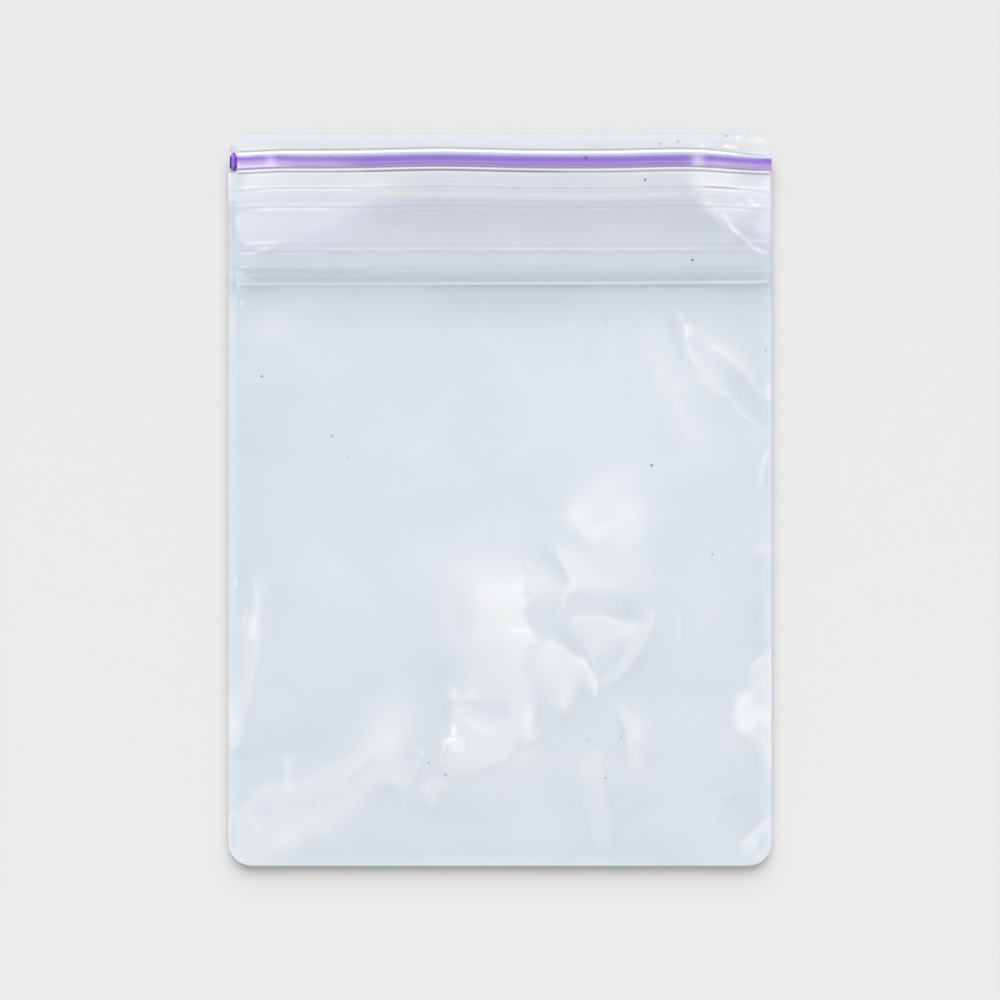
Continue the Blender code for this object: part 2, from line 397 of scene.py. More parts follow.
def closure_wave(x):
    """How far the closure wanders from straight: two bells, less a droop at each end."""
    humps = 0.35 * bell((x + 11.0) / 12.0) + 0.28 * bell((x - 33.0) / 9.0)
    left = 0.4 * ease((-HALF_WIDTH - x) / 11.0 + 1.0)
    right = 0.5 * ease((x - HALF_WIDTH) / 15.0 + 1.0)
    return humps - left - right


def wave_share(row):
    """Share of that wave which a row takes: all of it near the track, none at the bag's end and
    at the seal strip."""
    above = ease((HALF_LENGTH - row) / (HALF_LENGTH - TRACK_ROW - WAVE_ABOVE))
    below = ease((row - STRIP_ROW) / (TRACK_ROW - STRIP_ROW - WAVE_BELOW))
    return np.where(row > TRACK_ROW, above, below)


def lift(x, y, reach):
    """The edges of the bag curl off the table: EDGE_LIFT at the outline, eased to 0 over a reach."""
    from_end = HALF_LENGTH - np.abs(y)
    return EDGE_LIFT * (1.0 - ease(from_side(x, y) / reach) * ease(from_end / reach))


def past_track(row):
    """0 up to the closure, easing to 1 on the lip above it."""
    return ease((row - LIP_ROW) / LIP_BLEND)


def underside(x, y):
    """The back film: flat on the table under the bag and lifted at the edges."""
    return lift(x, y, BACK_REACH)


def body_puff(x, y):
    """The air in the body: 1 over its middle, 0 at the welds and at the seal strip."""
    from_bottom = y + HALF_LENGTH
    from_strip = STRIP_ROW - 0.5 * STRIP_WIDTH - 0.3 - y
    from_weld = from_side(x, y) - WELD_LEFT
    return rise(from_weld / 22.0) * rise(from_bottom / 26.0) * ease(from_strip / 60.0)


wave = closure_wave(np.linspace(-HALF_WIDTH, HALF_WIDTH, 201))
print("closure wanders from", wave.min().round(2), "to", wave.max().round(2), "mm")

# %% [markdown]
# ## Wrinkles as curves
#
# A crease in film is a soft ridge with one steep side. Each one here is a smooth curve through a
# few points. The height of the film rises towards the curve as a bell, wide on one side and
# narrow on the other, and fades out at the two ends. The same bell also sets the haze, which
# carries painted light: a painted highlight where the crease would catch the lamp and painted
# shade where it would turn from it. The haze also holds the milkiness of film that is creased or
# has parted from the film below, and the clear grey of film that clings. Sculpting by hand would
# give the same look, but a list of curves can be read, moved and reused.


# %% Smooth curves through points
def cubic_steps(before, start, end, after, steps):
    """Points on a Catmull-Rom curve: between each start and end, a cubic whose slope at each end
    is half of the step from the neighbour before to the neighbour after."""
    t = np.linspace(0.0, 1.0, steps, endpoint=False)[None, :, None]
    before, start, end, after = (side[:, None, :] for side in (before, start, end, after))
    curve = 0.5 * (
        2.0 * start
        + (end - before) * t
        + (2.0 * before - 5.0 * start + 4.0 * end - after) * t**2
        + (3.0 * start - before - 3.0 * end + after) * t**3
    )
    return curve.reshape(-1, start.shape[-1])


def open_curve(points):
    """The cubic through points in order, which leaves both ends straight."""
    given = np.array(points, float)
    if len(given) == 2:
        return given
    ends = np.vstack((2.0 * given[0] - given[1], given, 2.0 * given[-1] - given[-2]))
    return np.vstack((cubic_steps(ends[:-3], ends[1:-2], ends[2:-1], ends[3:], 5), given[-1]))


def closed_curve(points):
    """The cubic through points in order and back to the first."""
    given = np.array(points, float)
    return cubic_steps(*(np.roll(given, turn, axis=0) for turn in (1, 0, -1, -2)), 4)


# %% Creases and patches
CREASE_FADE = 0.25
# A crease has points and its widths on the left and right; a patch has a middle, half-lengths
# along and across, and a turn in degrees. Both say what they add to the haze and its painted
# light, and to the height.
Crease = namedtuple("Crease", "points left right light height", defaults=(0.0,))
Patch = namedtuple("Patch", "x y long wide light turn height", defaults=(0.0, 0.0))


def along_and_aside(x, y, curve):
    """For each point of a grid: its share of the way along a curve, and its distance to the
    left of it, which is negative on the right."""
    nearest = np.full(x.shape, np.inf)
    share = np.zeros(x.shape)
    aside = np.zeros(x.shape)
    steps = np.hypot(*np.diff(curve, axis=0).T)
    passed = np.concatenate(([0.0], np.cumsum(steps)))
    for k, (start, end) in enumerate(zip(curve, curve[1:])):
        run = (end - start) / steps[k]
        ahead = (x - start[0]) * run[0] + (y - start[1]) * run[1]
        left = (y - start[1]) * run[0] - (x - start[0]) * run[1]
        held = np.clip(ahead, 0.0, steps[k])
        gap = np.hypot(left, ahead - held)
        closer = gap < nearest
        nearest = np.where(closer, gap, nearest)
        share = np.where(closer, (passed[k] + held) / passed[-1], share)
        aside = np.where(closer, np.copysign(gap, left), aside)
    return share, aside


def crease_shape(x, y, crease):
    """A bell of the distance to the curve, with its own width on each side, that fades in over
    the first quarter of the curve and out over the last."""
    share, aside = along_and_aside(x, y, open_curve(crease.points))
    width = np.where(aside > 0.0, crease.left, crease.right)
    fade = ease(share / CREASE_FADE) * ease((1.0 - share) / CREASE_FADE)
    return bell(aside / width) * fade


def patch_shape(x, y, patch):
    """A bell of the distance from the middle, stretched along a turned axis."""
    angle = math.radians(patch.turn)
    u = (x - patch.x) * math.cos(angle) + (y - patch.y) * math.sin(angle)
    v = (y - patch.y) * math.cos(angle) - (x - patch.x) * math.sin(angle)
    return bell(np.hypot(u / patch.long, v / patch.wide))


# %% [markdown]
# The haze and its painted light also change over whole areas: where two films part or cling, and
# where a whole slope catches the lamp. At the edge of such an area the change is crisp in one place
# and melts away in another. A facet is such an area: a closed curve, each of whose points also has
# a grade of softness. A painted image could hold it too, but only as finely as it was painted. A
# curve stays sharp at any size.

# %% Facets
# What a facet adds to the haze and its painted light and to the height, and its outline as x, y
# and grade
Facet = namedtuple("Facet", "light height outline")
SOFTEST = 2.5
SHARPEST_GRADE = 0.1


def facet_shape(x, y, outline, spread=0.0):
    """1 inside a closed outline and 0 outside it: ease(1/2 + depth / (2 soft)), where depth is how
    far inside the outline a place lies. Its softness is that of the outline's points, averaged with
    weights of 1 / distance^3, plus the spread; a point of grade g is 2.5 g^1.5 mm soft. A place
    is inside where a line from it towards +X crosses the outline an odd number of times."""
    curve = closed_curve(outline)
    curve[:, 2] = SOFTEST * np.maximum(curve[:, 2], SHARPEST_GRADE) ** 1.5
    margin = curve[:, 2].max() + spread
    low, high = curve.min(axis=0) - margin, curve.max(axis=0) + margin
    near = (x > low[0]) & (x < high[0]) & (y > low[1]) & (y < high[1])
    u, v = x[near], y[near]
    gap = np.full(u.shape, np.inf)
    inside = np.zeros(u.shape, bool)
    weights, graded = np.zeros(u.shape), np.zeros(u.shape)
    for start, end in zip(curve, np.roll(curve, -1, axis=0)):
        run = end - start
        ahead = (u - start[0]) * run[0] + (v - start[1]) * run[1]
        share = np.clip(ahead / (run[0] ** 2 + run[1] ** 2), 0.0, 1.0)
        away = np.hypot(u - start[0] - share * run[0], v - start[1] - share * run[1])
        gap = np.minimum(gap, away)
        weight = math.hypot(run[0], run[1]) / (away + 0.05) ** 3
        weights += weight
        graded += weight * (start[2] + share * run[2])
        beyond = ((u - start[0]) * run[1] < (v - start[1]) * run[0]) == (run[1] > 0.0)
        inside ^= ((start[1] > v) != (end[1] > v)) & beyond
    soft = graded / weights + spread
    shape = np.zeros(x.shape)
    shape[near] = ease(0.5 + np.where(inside, gap, -gap) / (2.0 * soft))
    return shape


# %% [markdown]
# ## The wrinkles of the body
#
# The wrinkles gather round the middle, the lower corners and the right edge. They are listed from
# large to small: facets, then creases, and last the broad glows and small spots. A facet gives
# its light, its height, and the places and grades of its outline. A crease gives its points, its
# width on the left and on the right, its light and its height. A patch gives its middle, its two
# half-lengths and its light. These lists are the work of the piece, so they are long, and each
# group says where on the bag it is.

# %% Facets of the middle
MIDDLE_FACETS = (
    # The parted film, left of the long edge, and its painted highlight
    Facet(0.34, 0.10, (
        (-6.5, -13.0, 1.8), (-1.5, -11.8, 1.6), (3.0, -12.2, 1.2), (4.4, -15.5, 0.5),
        (4.2, -17.6, 0.35), (5.0, -19.2, 0.3), (4.3, -20.6, 0.4), (4.9, -22.5, 0.3),
        (6.2, -24.8, 0.3), (6.6, -26.2, 0.5), (4.0, -25.6, 0.8), (0.0, -25.4, 1.0),
        (-4.2, -24.6, 1.0), (-5.6, -20.5, 1.0), (-6.0, -16.0, 1.4),
    )),
    # The crescent, the light to its right and the streak that runs down from its tip
    Facet(-0.18, -0.03, (
        (7.6, -8.6, 0.8), (9.8, -9.2, 0.4), (10.6, -10.8, 0.25), (11.8, -12.6, 0.2),
        (12.4, -14.4, 0.2), (12.6, -15.2, 0.3), (11.0, -15.0, 0.8), (9.4, -13.6, 0.8),
        (8.4, -12.2, 0.8), (7.4, -10.4, 0.8),
    )),
    Facet(0.14, 0.06, (
        (10.4, -9.6, 0.3), (12.0, -9.8, 0.5), (13.8, -10.4, 0.8), (14.0, -13.5, 1.0),
        (13.2, -15.8, 0.6), (12.6, -14.8, 0.25), (12.0, -12.8, 0.2), (10.8, -11.0, 0.2),
    )),
    Facet(0.22, 0.06, (
        (13.6, -15.4, 0.4), (14.0, -16.4, 0.4), (12.4, -17.4, 0.3), (11.9, -19.0, 0.3),
        (11.4, -19.9, 0.2), (11.3, -18.6, 0.3), (11.8, -17.0, 0.3), (12.4, -15.8, 0.4),
    )),
    # The dark band across the middle
    Facet(-0.08, -0.04, (
        (6.4, -20.2, 0.8), (8.0, -19.2, 0.8), (10.8, -19.0, 0.7), (11.4, -20.1, 0.4),
        (13.0, -19.2, 0.7), (14.2, -17.6, 0.8), (17.0, -17.4, 0.8), (20.0, -17.2, 0.8),
        (22.6, -16.6, 0.9), (24.8, -18.4, 0.9), (25.4, -20.6, 0.6), (24.4, -22.6, 0.5),
        (22.4, -22.2, 0.3), (20.8, -21.7, 0.3), (18.0, -21.3, 0.3), (15.0, -21.4, 0.4),
        (12.8, -21.8, 0.5), (11.4, -22.2, 0.3), (9.4, -22.3, 0.5), (8.0, -23.6, 0.8),
        (6.8, -23.6, 0.6), (6.2, -21.8, 0.7),
    )),
    # The arc under it
    Facet(0.28, 0.08, (
        (12.8, -22.2, 0.4), (15.0, -21.5, 0.2), (18.0, -21.4, 0.2), (20.6, -21.9, 0.25),
        (22.4, -22.6, 0.3), (25.0, -22.8, 0.5), (24.0, -24.6, 0.6), (22.6, -26.0, 0.8),
        (19.8, -26.4, 1.2), (17.6, -27.4, 1.0), (15.0, -25.4, 0.8), (13.2, -24.0, 0.8),
    )),
    # The bright diagonal flap with a sharp right edge
    Facet(0.38, 0.12, (
        (9.0, -25.6, 0.5), (10.6, -26.2, 0.4), (13.4, -28.4, 0.3), (15.4, -29.4, 0.3),
        (16.4, -31.0, 0.3), (17.4, -32.0, 0.3), (18.0, -34.2, 0.3), (17.4, -36.2, 0.4),
        (16.4, -34.6, 0.5), (15.0, -33.0, 0.8), (13.6, -35.0, 0.8), (12.8, -37.4, 0.6),
        (11.8, -38.8, 0.5), (10.4, -37.8, 0.9), (9.8, -35.0, 1.2), (9.0, -32.0, 1.3),
        (8.2, -30.0, 1.2), (7.6, -27.5, 1.0),
    )),
    # The curved band to its right, and the flake under the two
    Facet(0.25, 0.10, (
        (26.6, -22.4, 0.6), (27.8, -20.0, 0.5), (28.4, -21.6, 0.4), (27.6, -24.2, 0.3),
        (26.4, -26.6, 0.25), (25.6, -28.0, 0.3), (24.2, -29.6, 0.3), (23.0, -31.2, 0.3),
        (21.8, -32.6, 0.4), (20.2, -33.6, 0.6), (19.0, -33.4, 0.6), (21.0, -31.8, 0.5),
        (22.0, -30.0, 0.4), (22.8, -28.0, 0.4), (23.2, -26.0, 0.5), (24.0, -24.0, 0.7),
        (25.4, -23.0, 0.6),
    )),
    Facet(0.24, 0.08, (
        (21.6, -37.6, 0.4), (22.8, -37.6, 0.7), (24.6, -39.0, 0.9), (26.6, -40.8, 0.9),
        (26.8, -43.6, 0.9), (26.2, -46.8, 0.9), (25.4, -49.4, 0.9), (24.0, -48.4, 0.7),
        (23.4, -45.5, 0.4), (23.0, -42.6, 0.3), (22.2, -40.4, 0.25), (21.8, -38.8, 0.3),
    )),
    # The parted film below the middle, its painted highlight, and a clear eye in it
    Facet(0.30, 0.14, (
        (-6.2, -25.0, 1.2), (0.0, -24.8, 1.2), (5.0, -25.8, 0.8), (5.0, -28.0, 0.8),
        (4.2, -30.5, 0.8), (5.2, -33.0, 0.8), (6.2, -36.0, 0.8), (6.2, -40.0, 0.4),
        (6.0, -42.4, 0.6), (7.2, -43.2, 0.5), (5.0, -44.6, 0.4), (3.0, -44.6, 0.5),
        (1.6, -46.8, 0.4), (0.2, -48.0, 0.5), (-2.0, -48.8, 0.4), (-4.4, -49.6, 0.5),
        (-6.6, -49.8, 0.8), (-9.8, -49.4, 0.8), (-10.0, -46.0, 0.5), (-10.6, -44.6, 0.4),
        (-9.2, -43.2, 0.4), (-9.0, -41.0, 0.4), (-8.8, -38.6, 0.6), (-9.4, -36.4, 0.5),
        (-9.0, -34.6, 0.6), (-6.6, -34.0, 1.2), (-6.4, -30.0, 1.5),
    )),
    Facet(-0.19, -0.04, (
        (-5.0, -37.4, 0.8), (-2.0, -36.6, 0.5), (1.0, -36.8, 0.3), (1.8, -38.0, 0.4),
        (2.0, -39.8, 0.5), (0.0, -40.4, 0.7), (-2.6, -39.8, 0.8), (-4.4, -38.8, 0.8),
    )),
    Facet(0.20, 0.05, (
        (-9.2, -43.8, 0.3), (-6.8, -43.6, 0.3), (-6.6, -46.0, 0.3), (-8.4, -46.2, 0.3),
        (-9.6, -44.6, 0.3),
    )),
    Facet(0.18, 0.06, (
        (-14.0, -52.2, 0.6), (-12.4, -50.8, 0.5), (-10.2, -51.4, 0.4), (-9.0, -52.9, 0.3),
        (-11.2, -53.4, 0.3), (-11.4, -55.2, 0.3), (-12.6, -56.4, 0.4), (-13.8, -55.2, 0.4),
    )),
)
print(len(MIDDLE_FACETS), "facets at the middle")

# %% Facets above the middle and at the left
UPPER_FACETS = (
    # The lights above the dark band: a cloud, its brighter heart and the skirt below it
    Facet(0.28, 0.10, (
        (12.8, -1.4, 1.0), (14.0, 0.2, 1.2), (18.0, 1.6, 1.4), (22.0, 0.6, 1.4),
        (25.2, -0.6, 1.2), (26.0, -3.5, 1.2), (25.2, -6.4, 1.2), (23.4, -8.0, 1.1),
        (20.0, -7.6, 1.2), (17.4, -8.0, 1.0), (15.6, -7.0, 0.8), (13.8, -5.4, 0.7),
        (12.2, -4.4, 0.8), (11.8, -3.0, 0.9),
    )),
    Facet(0.10, 0.03, (
        (13.6, -1.2, 0.5), (16.6, -1.6, 0.6), (16.8, -4.8, 0.5), (19.6, -5.0, 0.5),
        (19.4, -6.8, 0.5), (16.4, -7.0, 0.5), (14.4, -5.6, 0.5), (12.8, -4.4, 0.6),
        (12.6, -2.6, 0.6),
    )),
    Facet(0.20, 0.10, (
        (10.0, -8.4, 1.0), (14.0, -8.0, 1.5), (26.0, -8.0, 1.5), (27.4, -11.0, 1.2),
        (27.0, -15.0, 1.2), (24.0, -15.6, 1.2), (19.0, -16.2, 0.9), (14.2, -15.8, 0.8),
        (12.6, -14.6, 0.4), (11.2, -11.4, 0.3),
    )),
    # The streak up the left side
    Facet(0.32, 0.08, (
        (-45.0, -15.6, 0.3), (-44.3, -16.0, 0.3), (-44.2, -19.5, 0.3), (-44.5, -22.5, 0.5),
        (-45.2, -25.0, 0.7), (-46.0, -24.6, 0.7), (-45.6, -21.5, 0.6), (-45.1, -18.5, 0.5),
    )),
    Facet(0.28, 0.12, (
        (-48.0, -22.6, 0.9), (-44.9, -21.6, 0.8), (-44.5, -25.5, 0.5), (-44.9, -30.0, 0.4),
        (-45.4, -34.0, 0.4), (-46.2, -38.0, 0.5), (-47.2, -40.5, 0.5), (-47.4, -43.0, 0.4),
        (-48.0, -45.0, 0.5), (-49.8, -45.2, 0.4), (-50.2, -40.0, 0.5), (-49.6, -36.8, 0.8),
        (-48.2, -33.0, 0.9), (-48.1, -27.0, 0.9),
    )),
    # The diagonal light at the lower left
    Facet(0.22, 0.12, (
        (-47.6, -56.2, 0.6), (-45.4, -54.0, 0.6), (-42.4, -52.4, 0.6), (-39.6, -52.0, 0.5),
        (-36.0, -51.6, 0.7), (-33.6, -50.0, 0.8), (-30.0, -48.4, 0.8), (-27.6, -47.2, 0.8),
        (-25.6, -45.0, 1.0), (-24.4, -41.0, 1.2), (-22.0, -37.0, 1.4), (-18.6, -37.0, 1.4),
        (-15.6, -40.6, 1.2), (-16.8, -44.0, 1.2), (-18.0, -46.8, 0.9), (-16.6, -50.0, 1.0),
        (-17.6, -52.6, 0.7), (-22.0, -52.6, 0.7), (-25.4, -56.0, 1.0), (-28.4, -58.4, 1.0),
        (-32.0, -60.6, 1.0), (-36.0, -61.8, 1.0), (-38.0, -64.4, 1.0), (-43.0, -66.6, 1.0),
        (-49.0, -66.6, 0.6), (-49.8, -62.0, 0.6), (-49.4, -58.4, 0.6),
    )),
)
print(len(UPPER_FACETS), "facets above it and at the left")

# %% Facets of the right edge and the lower right
RIGHT_FACETS = (
    # The light at the right edge and its core
    Facet(0.30, 0.12, (
        (46.2, -30.8, 0.3), (47.4, -29.3, 0.3), (48.8, -28.4, 0.4), (50.2, -29.0, 0.4),
        (50.2, -49.4, 0.6), (49.2, -48.8, 0.7), (48.2, -46.6, 0.7), (47.2, -44.8, 0.7),
        (45.8, -43.8, 0.6), (44.4, -43.0, 0.6), (43.4, -41.8, 0.6), (42.9, -40.0, 0.6),
        (42.9, -38.2, 0.6), (43.4, -36.6, 0.6), (44.2, -35.4, 0.7), (45.8, -34.4, 0.7),
        (46.3, -33.2, 0.5),
    )),
    Facet(0.26, 0.06, (
        (44.2, -36.2, 0.5), (46.2, -35.8, 0.6), (46.8, -38.0, 0.6), (49.8, -38.4, 0.6),
        (50.0, -40.8, 0.6), (47.6, -41.0, 0.5), (46.6, -42.4, 0.5), (44.6, -42.6, 0.5),
        (43.6, -41.0, 0.5), (43.4, -38.4, 0.5),
    )),
    # The creases that run into the right edge
    Facet(0.22, 0.07, (
        (35.2, 27.6, 0.7), (36.6, 26.4, 0.8), (38.6, 24.0, 0.9), (40.2, 21.6, 0.8),
        (41.8, 19.8, 0.5), (40.6, 19.2, 0.5), (38.2, 20.4, 0.6), (36.6, 21.8, 0.6),
        (36.4, 24.0, 0.4), (35.6, 25.4, 0.3),
    )),
    Facet(-0.12, -0.04, (
        (43.0, 23.0, 0.5), (45.0, 22.0, 0.4), (46.8, 20.0, 0.4), (48.4, 18.4, 0.4),
        (49.8, 18.0, 0.4), (49.8, 13.2, 0.4), (48.2, 13.8, 0.4), (46.0, 15.4, 0.4),
        (44.2, 17.2, 0.4), (42.6, 19.6, 0.6), (42.0, 21.6, 0.7),
    )),
    Facet(0.19, 0.08, (
        (36.4, 31.0, 0.9), (39.0, 29.2, 0.8), (42.0, 28.0, 0.9), (44.6, 26.2, 0.8),
        (46.2, 23.6, 0.6), (47.8, 21.0, 0.6), (49.2, 19.4, 0.5), (48.2, 18.9, 0.4),
        (46.8, 20.4, 0.35), (45.2, 22.4, 0.35), (43.4, 24.0, 0.4), (41.6, 25.4, 0.6),
        (39.6, 26.8, 0.6), (38.6, 28.0, 0.6),
    )),
    Facet(0.15, 0.08, (
        (27.4, 31.5, 1.2), (29.4, 29.0, 1.2), (30.6, 26.0, 1.0), (31.2, 23.0, 0.8),
        (33.6, 20.4, 0.9), (34.0, 17.0, 0.9), (36.6, 13.6, 1.2), (36.8, 10.8, 1.2),
        (34.4, 10.8, 1.4), (32.6, 14.8, 1.1), (31.4, 17.0, 1.0), (29.8, 18.6, 0.9),
        (28.4, 20.6, 0.8), (28.2, 25.4, 0.8), (26.8, 28.0, 1.2),
    )),
    # The column at the lower right, and the turned-up corner with a clear spot in it
    Facet(0.16, 0.08, (
        (15.2, -48.5, 0.8), (17.0, -46.2, 1.0), (18.4, -48.0, 0.5), (18.9, -53.0, 0.5),
        (19.9, -57.0, 0.5), (20.1, -61.0, 0.5), (20.0, -64.4, 0.6), (18.6, -64.2, 0.6),
        (17.4, -62.5, 0.6), (16.6, -60.0, 0.6), (16.5, -57.5, 0.6), (15.6, -56.0, 0.7),
        (15.2, -52.0, 0.8),
    )),
    Facet(-0.11, -0.04, (
        (42.0, -54.6, 0.3), (44.0, -54.0, 0.5), (47.0, -53.6, 0.6), (48.6, -52.0, 0.6),
        (49.6, -52.4, 0.5), (49.6, -57.0, 0.5), (47.6, -59.4, 0.4), (45.4, -61.4, 0.6),
        (42.4, -61.0, 0.8), (40.6, -60.0, 1.0), (41.4, -57.0, 0.8),
    )),
    Facet(0.29, 0.10, (
        (44.3, -63.2, 0.5), (45.6, -61.8, 0.3), (47.4, -60.0, 0.3), (48.4, -58.8, 0.3),
        (49.8, -58.4, 0.4), (49.9, -61.0, 0.3), (49.5, -63.6, 0.3), (48.4, -65.8, 0.4),
        (46.6, -66.2, 0.5), (45.0, -65.4, 0.6),
    )),
    Facet(-0.28, -0.06, (
        (47.4, -63.6, 0.4), (48.0, -62.0, 0.3), (49.0, -61.4, 0.3), (49.6, -62.0, 0.3),
        (49.2, -63.6, 0.3), (48.2, -65.0, 0.4),
    )),
)
FACETS = MIDDLE_FACETS + UPPER_FACETS + RIGHT_FACETS
print(len(RIGHT_FACETS), "facets at the right,", len(FACETS), "in all")

# %% The creases
CREASES = (
    # Short bright ends that fold over the long edge at the middle
    Crease(((4.6, -12.0), (6.4, -12.0)), 0.3, 0.3, 0.28, 0.06),
    Crease(((4.1, -18.3), (5.8, -18.3)), 0.3, 0.3, 0.26, 0.06),
    Crease(((1.4, -24.0), (6.2, -24.1)), 0.3, 0.5, 0.16, 0.06),
    # Inside and under the arc
    Crease(((8.0, -20.4), (10.5, -20.6)), 0.5, 0.6, -0.12),
    Crease(((22.2, -17.8), (23.6, -19.6), (23.8, -22.0)), 0.7, 0.6, -0.10),
    Crease(
        ((12.4, -22.0), (15.6, -21.4), (18.5, -21.4), (21.4, -22.1), (24.4, -23.2)),
        0.2, 0.7, 0.15, 0.06,
    ),
    Crease(
        ((13.2, -23.2), (14.6, -25.2), (16.2, -27.2), (17.2, -29.4), (17.6, -32.0)),
        0.3, 0.3, 0.17, 0.06,
    ),
    Crease(((14.2, -28.9), (15.4, -29.9), (16.6, -31.8)), 0.3, 0.3, 0.30, 0.06),
    Crease(((16.3, -32.0), (17.3, -33.4), (17.8, -35.0)), 0.4, 0.5, 0.14),
    Crease(((11.0, -35.4), (11.5, -37.0), (12.0, -38.4)), 0.5, 0.5, 0.12),
    Crease(((28.4, -27.0), (25.8, -30.2), (22.0, -34.2)), 0.8, 0.8, -0.09, -0.03),
    Crease(((21.5, -38.2), (22.2, -41.0), (23.2, -45.2)), 0.3, 0.6, -0.14, -0.04),
    # The crumpled corner of the parted film
    Crease(((-10.4, -37.2), (-3.4, -37.2)), 0.5, 0.5, -0.11, -0.02),
    Crease(((-7.4, -39.6), (-4.6, -41.6), (-2.4, -42.4), (-0.2, -42.6)), 0.7, 0.7, 0.17, 0.05),
    Crease(((-8.6, -41.0), (-8.5, -43.4)), 0.40, 0.40, 0.60, 0.10),
    Crease(((-10.8, -44.5), (-8.8, -43.8), (-7.6, -43.5)), 0.3, 0.3, 0.34, 0.06),
    Crease(((-11.1, -46.8), (-10.2, -45.2), (-9.8, -44.3)), 0.25, 0.25, 0.44, 0.06),
    Crease(((-10.8, -48.6), (-10.7, -46.5)), 0.3, 0.3, 0.28, 0.05),
    Crease(((-14.6, -45.2), (-14.3, -47.4)), 0.3, 0.3, 0.52, 0.08),
    Crease(((-14.4, -46.6), (-15.0, -49.0), (-16.2, -51.6)), 0.3, 0.3, 0.12, 0.04),
    # Lines at the left side
    Crease(((-46.4, -19.2), (-47.0, -21.4), (-47.9, -23.6)), 0.3, 0.3, 0.12, 0.03),
    Crease(((-48.85, -14.2), (-48.7, -16.4)), 0.35, 0.35, 0.34, 0.05),
    Crease(
        ((-48.2, 41.5), (-48.3, 38.6), (-48.8, 36.0), (-49.1, 33.0), (-49.3, 29.0)),
        0.4, 0.5, 0.22, 0.04,
    ),
    Crease(((-48.0, 40.4), (-48.0, 37.6)), 0.3, 0.3, 0.22, 0.04),
    Crease(((-47.5, 37.0), (-47.5, 35.2)), 0.3, 0.3, 0.34, 0.04),
    # Small creases of the diagonal light
    Crease(
        ((-28.4, -52.4), (-26.0, -50.2), (-24.4, -48.8), (-21.6, -46.9)),
        0.9, 0.9, -0.12, -0.04,
    ),
    Crease(((-39.4, -46.0), (-39.2, -50.5), (-39.2, -54.6)), 1.4, 0.4, 0.19, 0.04),
    Crease(((-47.2, -57.2), (-45.7, -59.4), (-44.2, -61.6)), 0.7, 0.7, 0.13, 0.04),
    Crease(((-48.0, -56.4), (-49.4, -58.0), (-49.9, -60.5), (-49.9, -64.6)), 0.25, 0.25, 0.26),
    Crease(((-48.9, -57.8), (-49.2, -61.0), (-48.7, -65.0)), 0.5, 0.5, -0.20),
    Crease(((-22.2, -52.6), (-20.0, -53.2), (-18.2, -57.2)), 0.6, 0.6, -0.09, -0.02),
    # Upper right
    Crease(
        ((31.8, 37.0), (33.6, 33.6), (34.4, 31.4), (34.6, 29.0), (35.2, 27.0), (36.7, 23.6)),
        0.4, 1.0, 0.21, 0.08,
    ),
    Crease(((34.1, 32.8), (34.4, 31.2), (34.5, 29.2)), 0.35, 0.35, 0.30, 0.05),
    Crease(
        ((40.8, 20.4), (43.0, 17.5), (44.8, 15.8), (46.6, 14.2), (48.6, 12.9), (50.8, 11.8)),
        0.4, 0.3, 0.20, 0.06,
    ),
    Crease(
        ((38.7, 28.4), (41.0, 27.2), (43.6, 25.4), (45.2, 24.0), (47.2, 21.2)),
        0.5, 0.6, 0.09, 0.03,
    ),
    Crease(((38.9, 28.3), (40.1, 27.7)), 0.3, 0.3, 0.36, 0.04),
    Crease(((31.2, 34.4), (32.2, 29.0), (33.9, 24.6)), 0.9, 0.9, -0.17, -0.05),
    Crease(((50.0, 10.0), (49.0, 7.6), (48.4, 5.0), (48.1, 1.6)), 0.3, 0.7, 0.32, 0.06),
    Crease(((49.4, 22.0), (49.3, 17.6)), 0.5, 0.5, 0.26, 0.04),
    Crease(((32.6, -19.6), (33.0, -27.2)), 0.4, 0.8, 0.10, 0.03),
    Crease(((37.6, -54.4), (41.6, -54.1), (43.2, -52.0)), 0.6, 0.4, 0.10, 0.03),
)
print(len(CREASES), "creases")

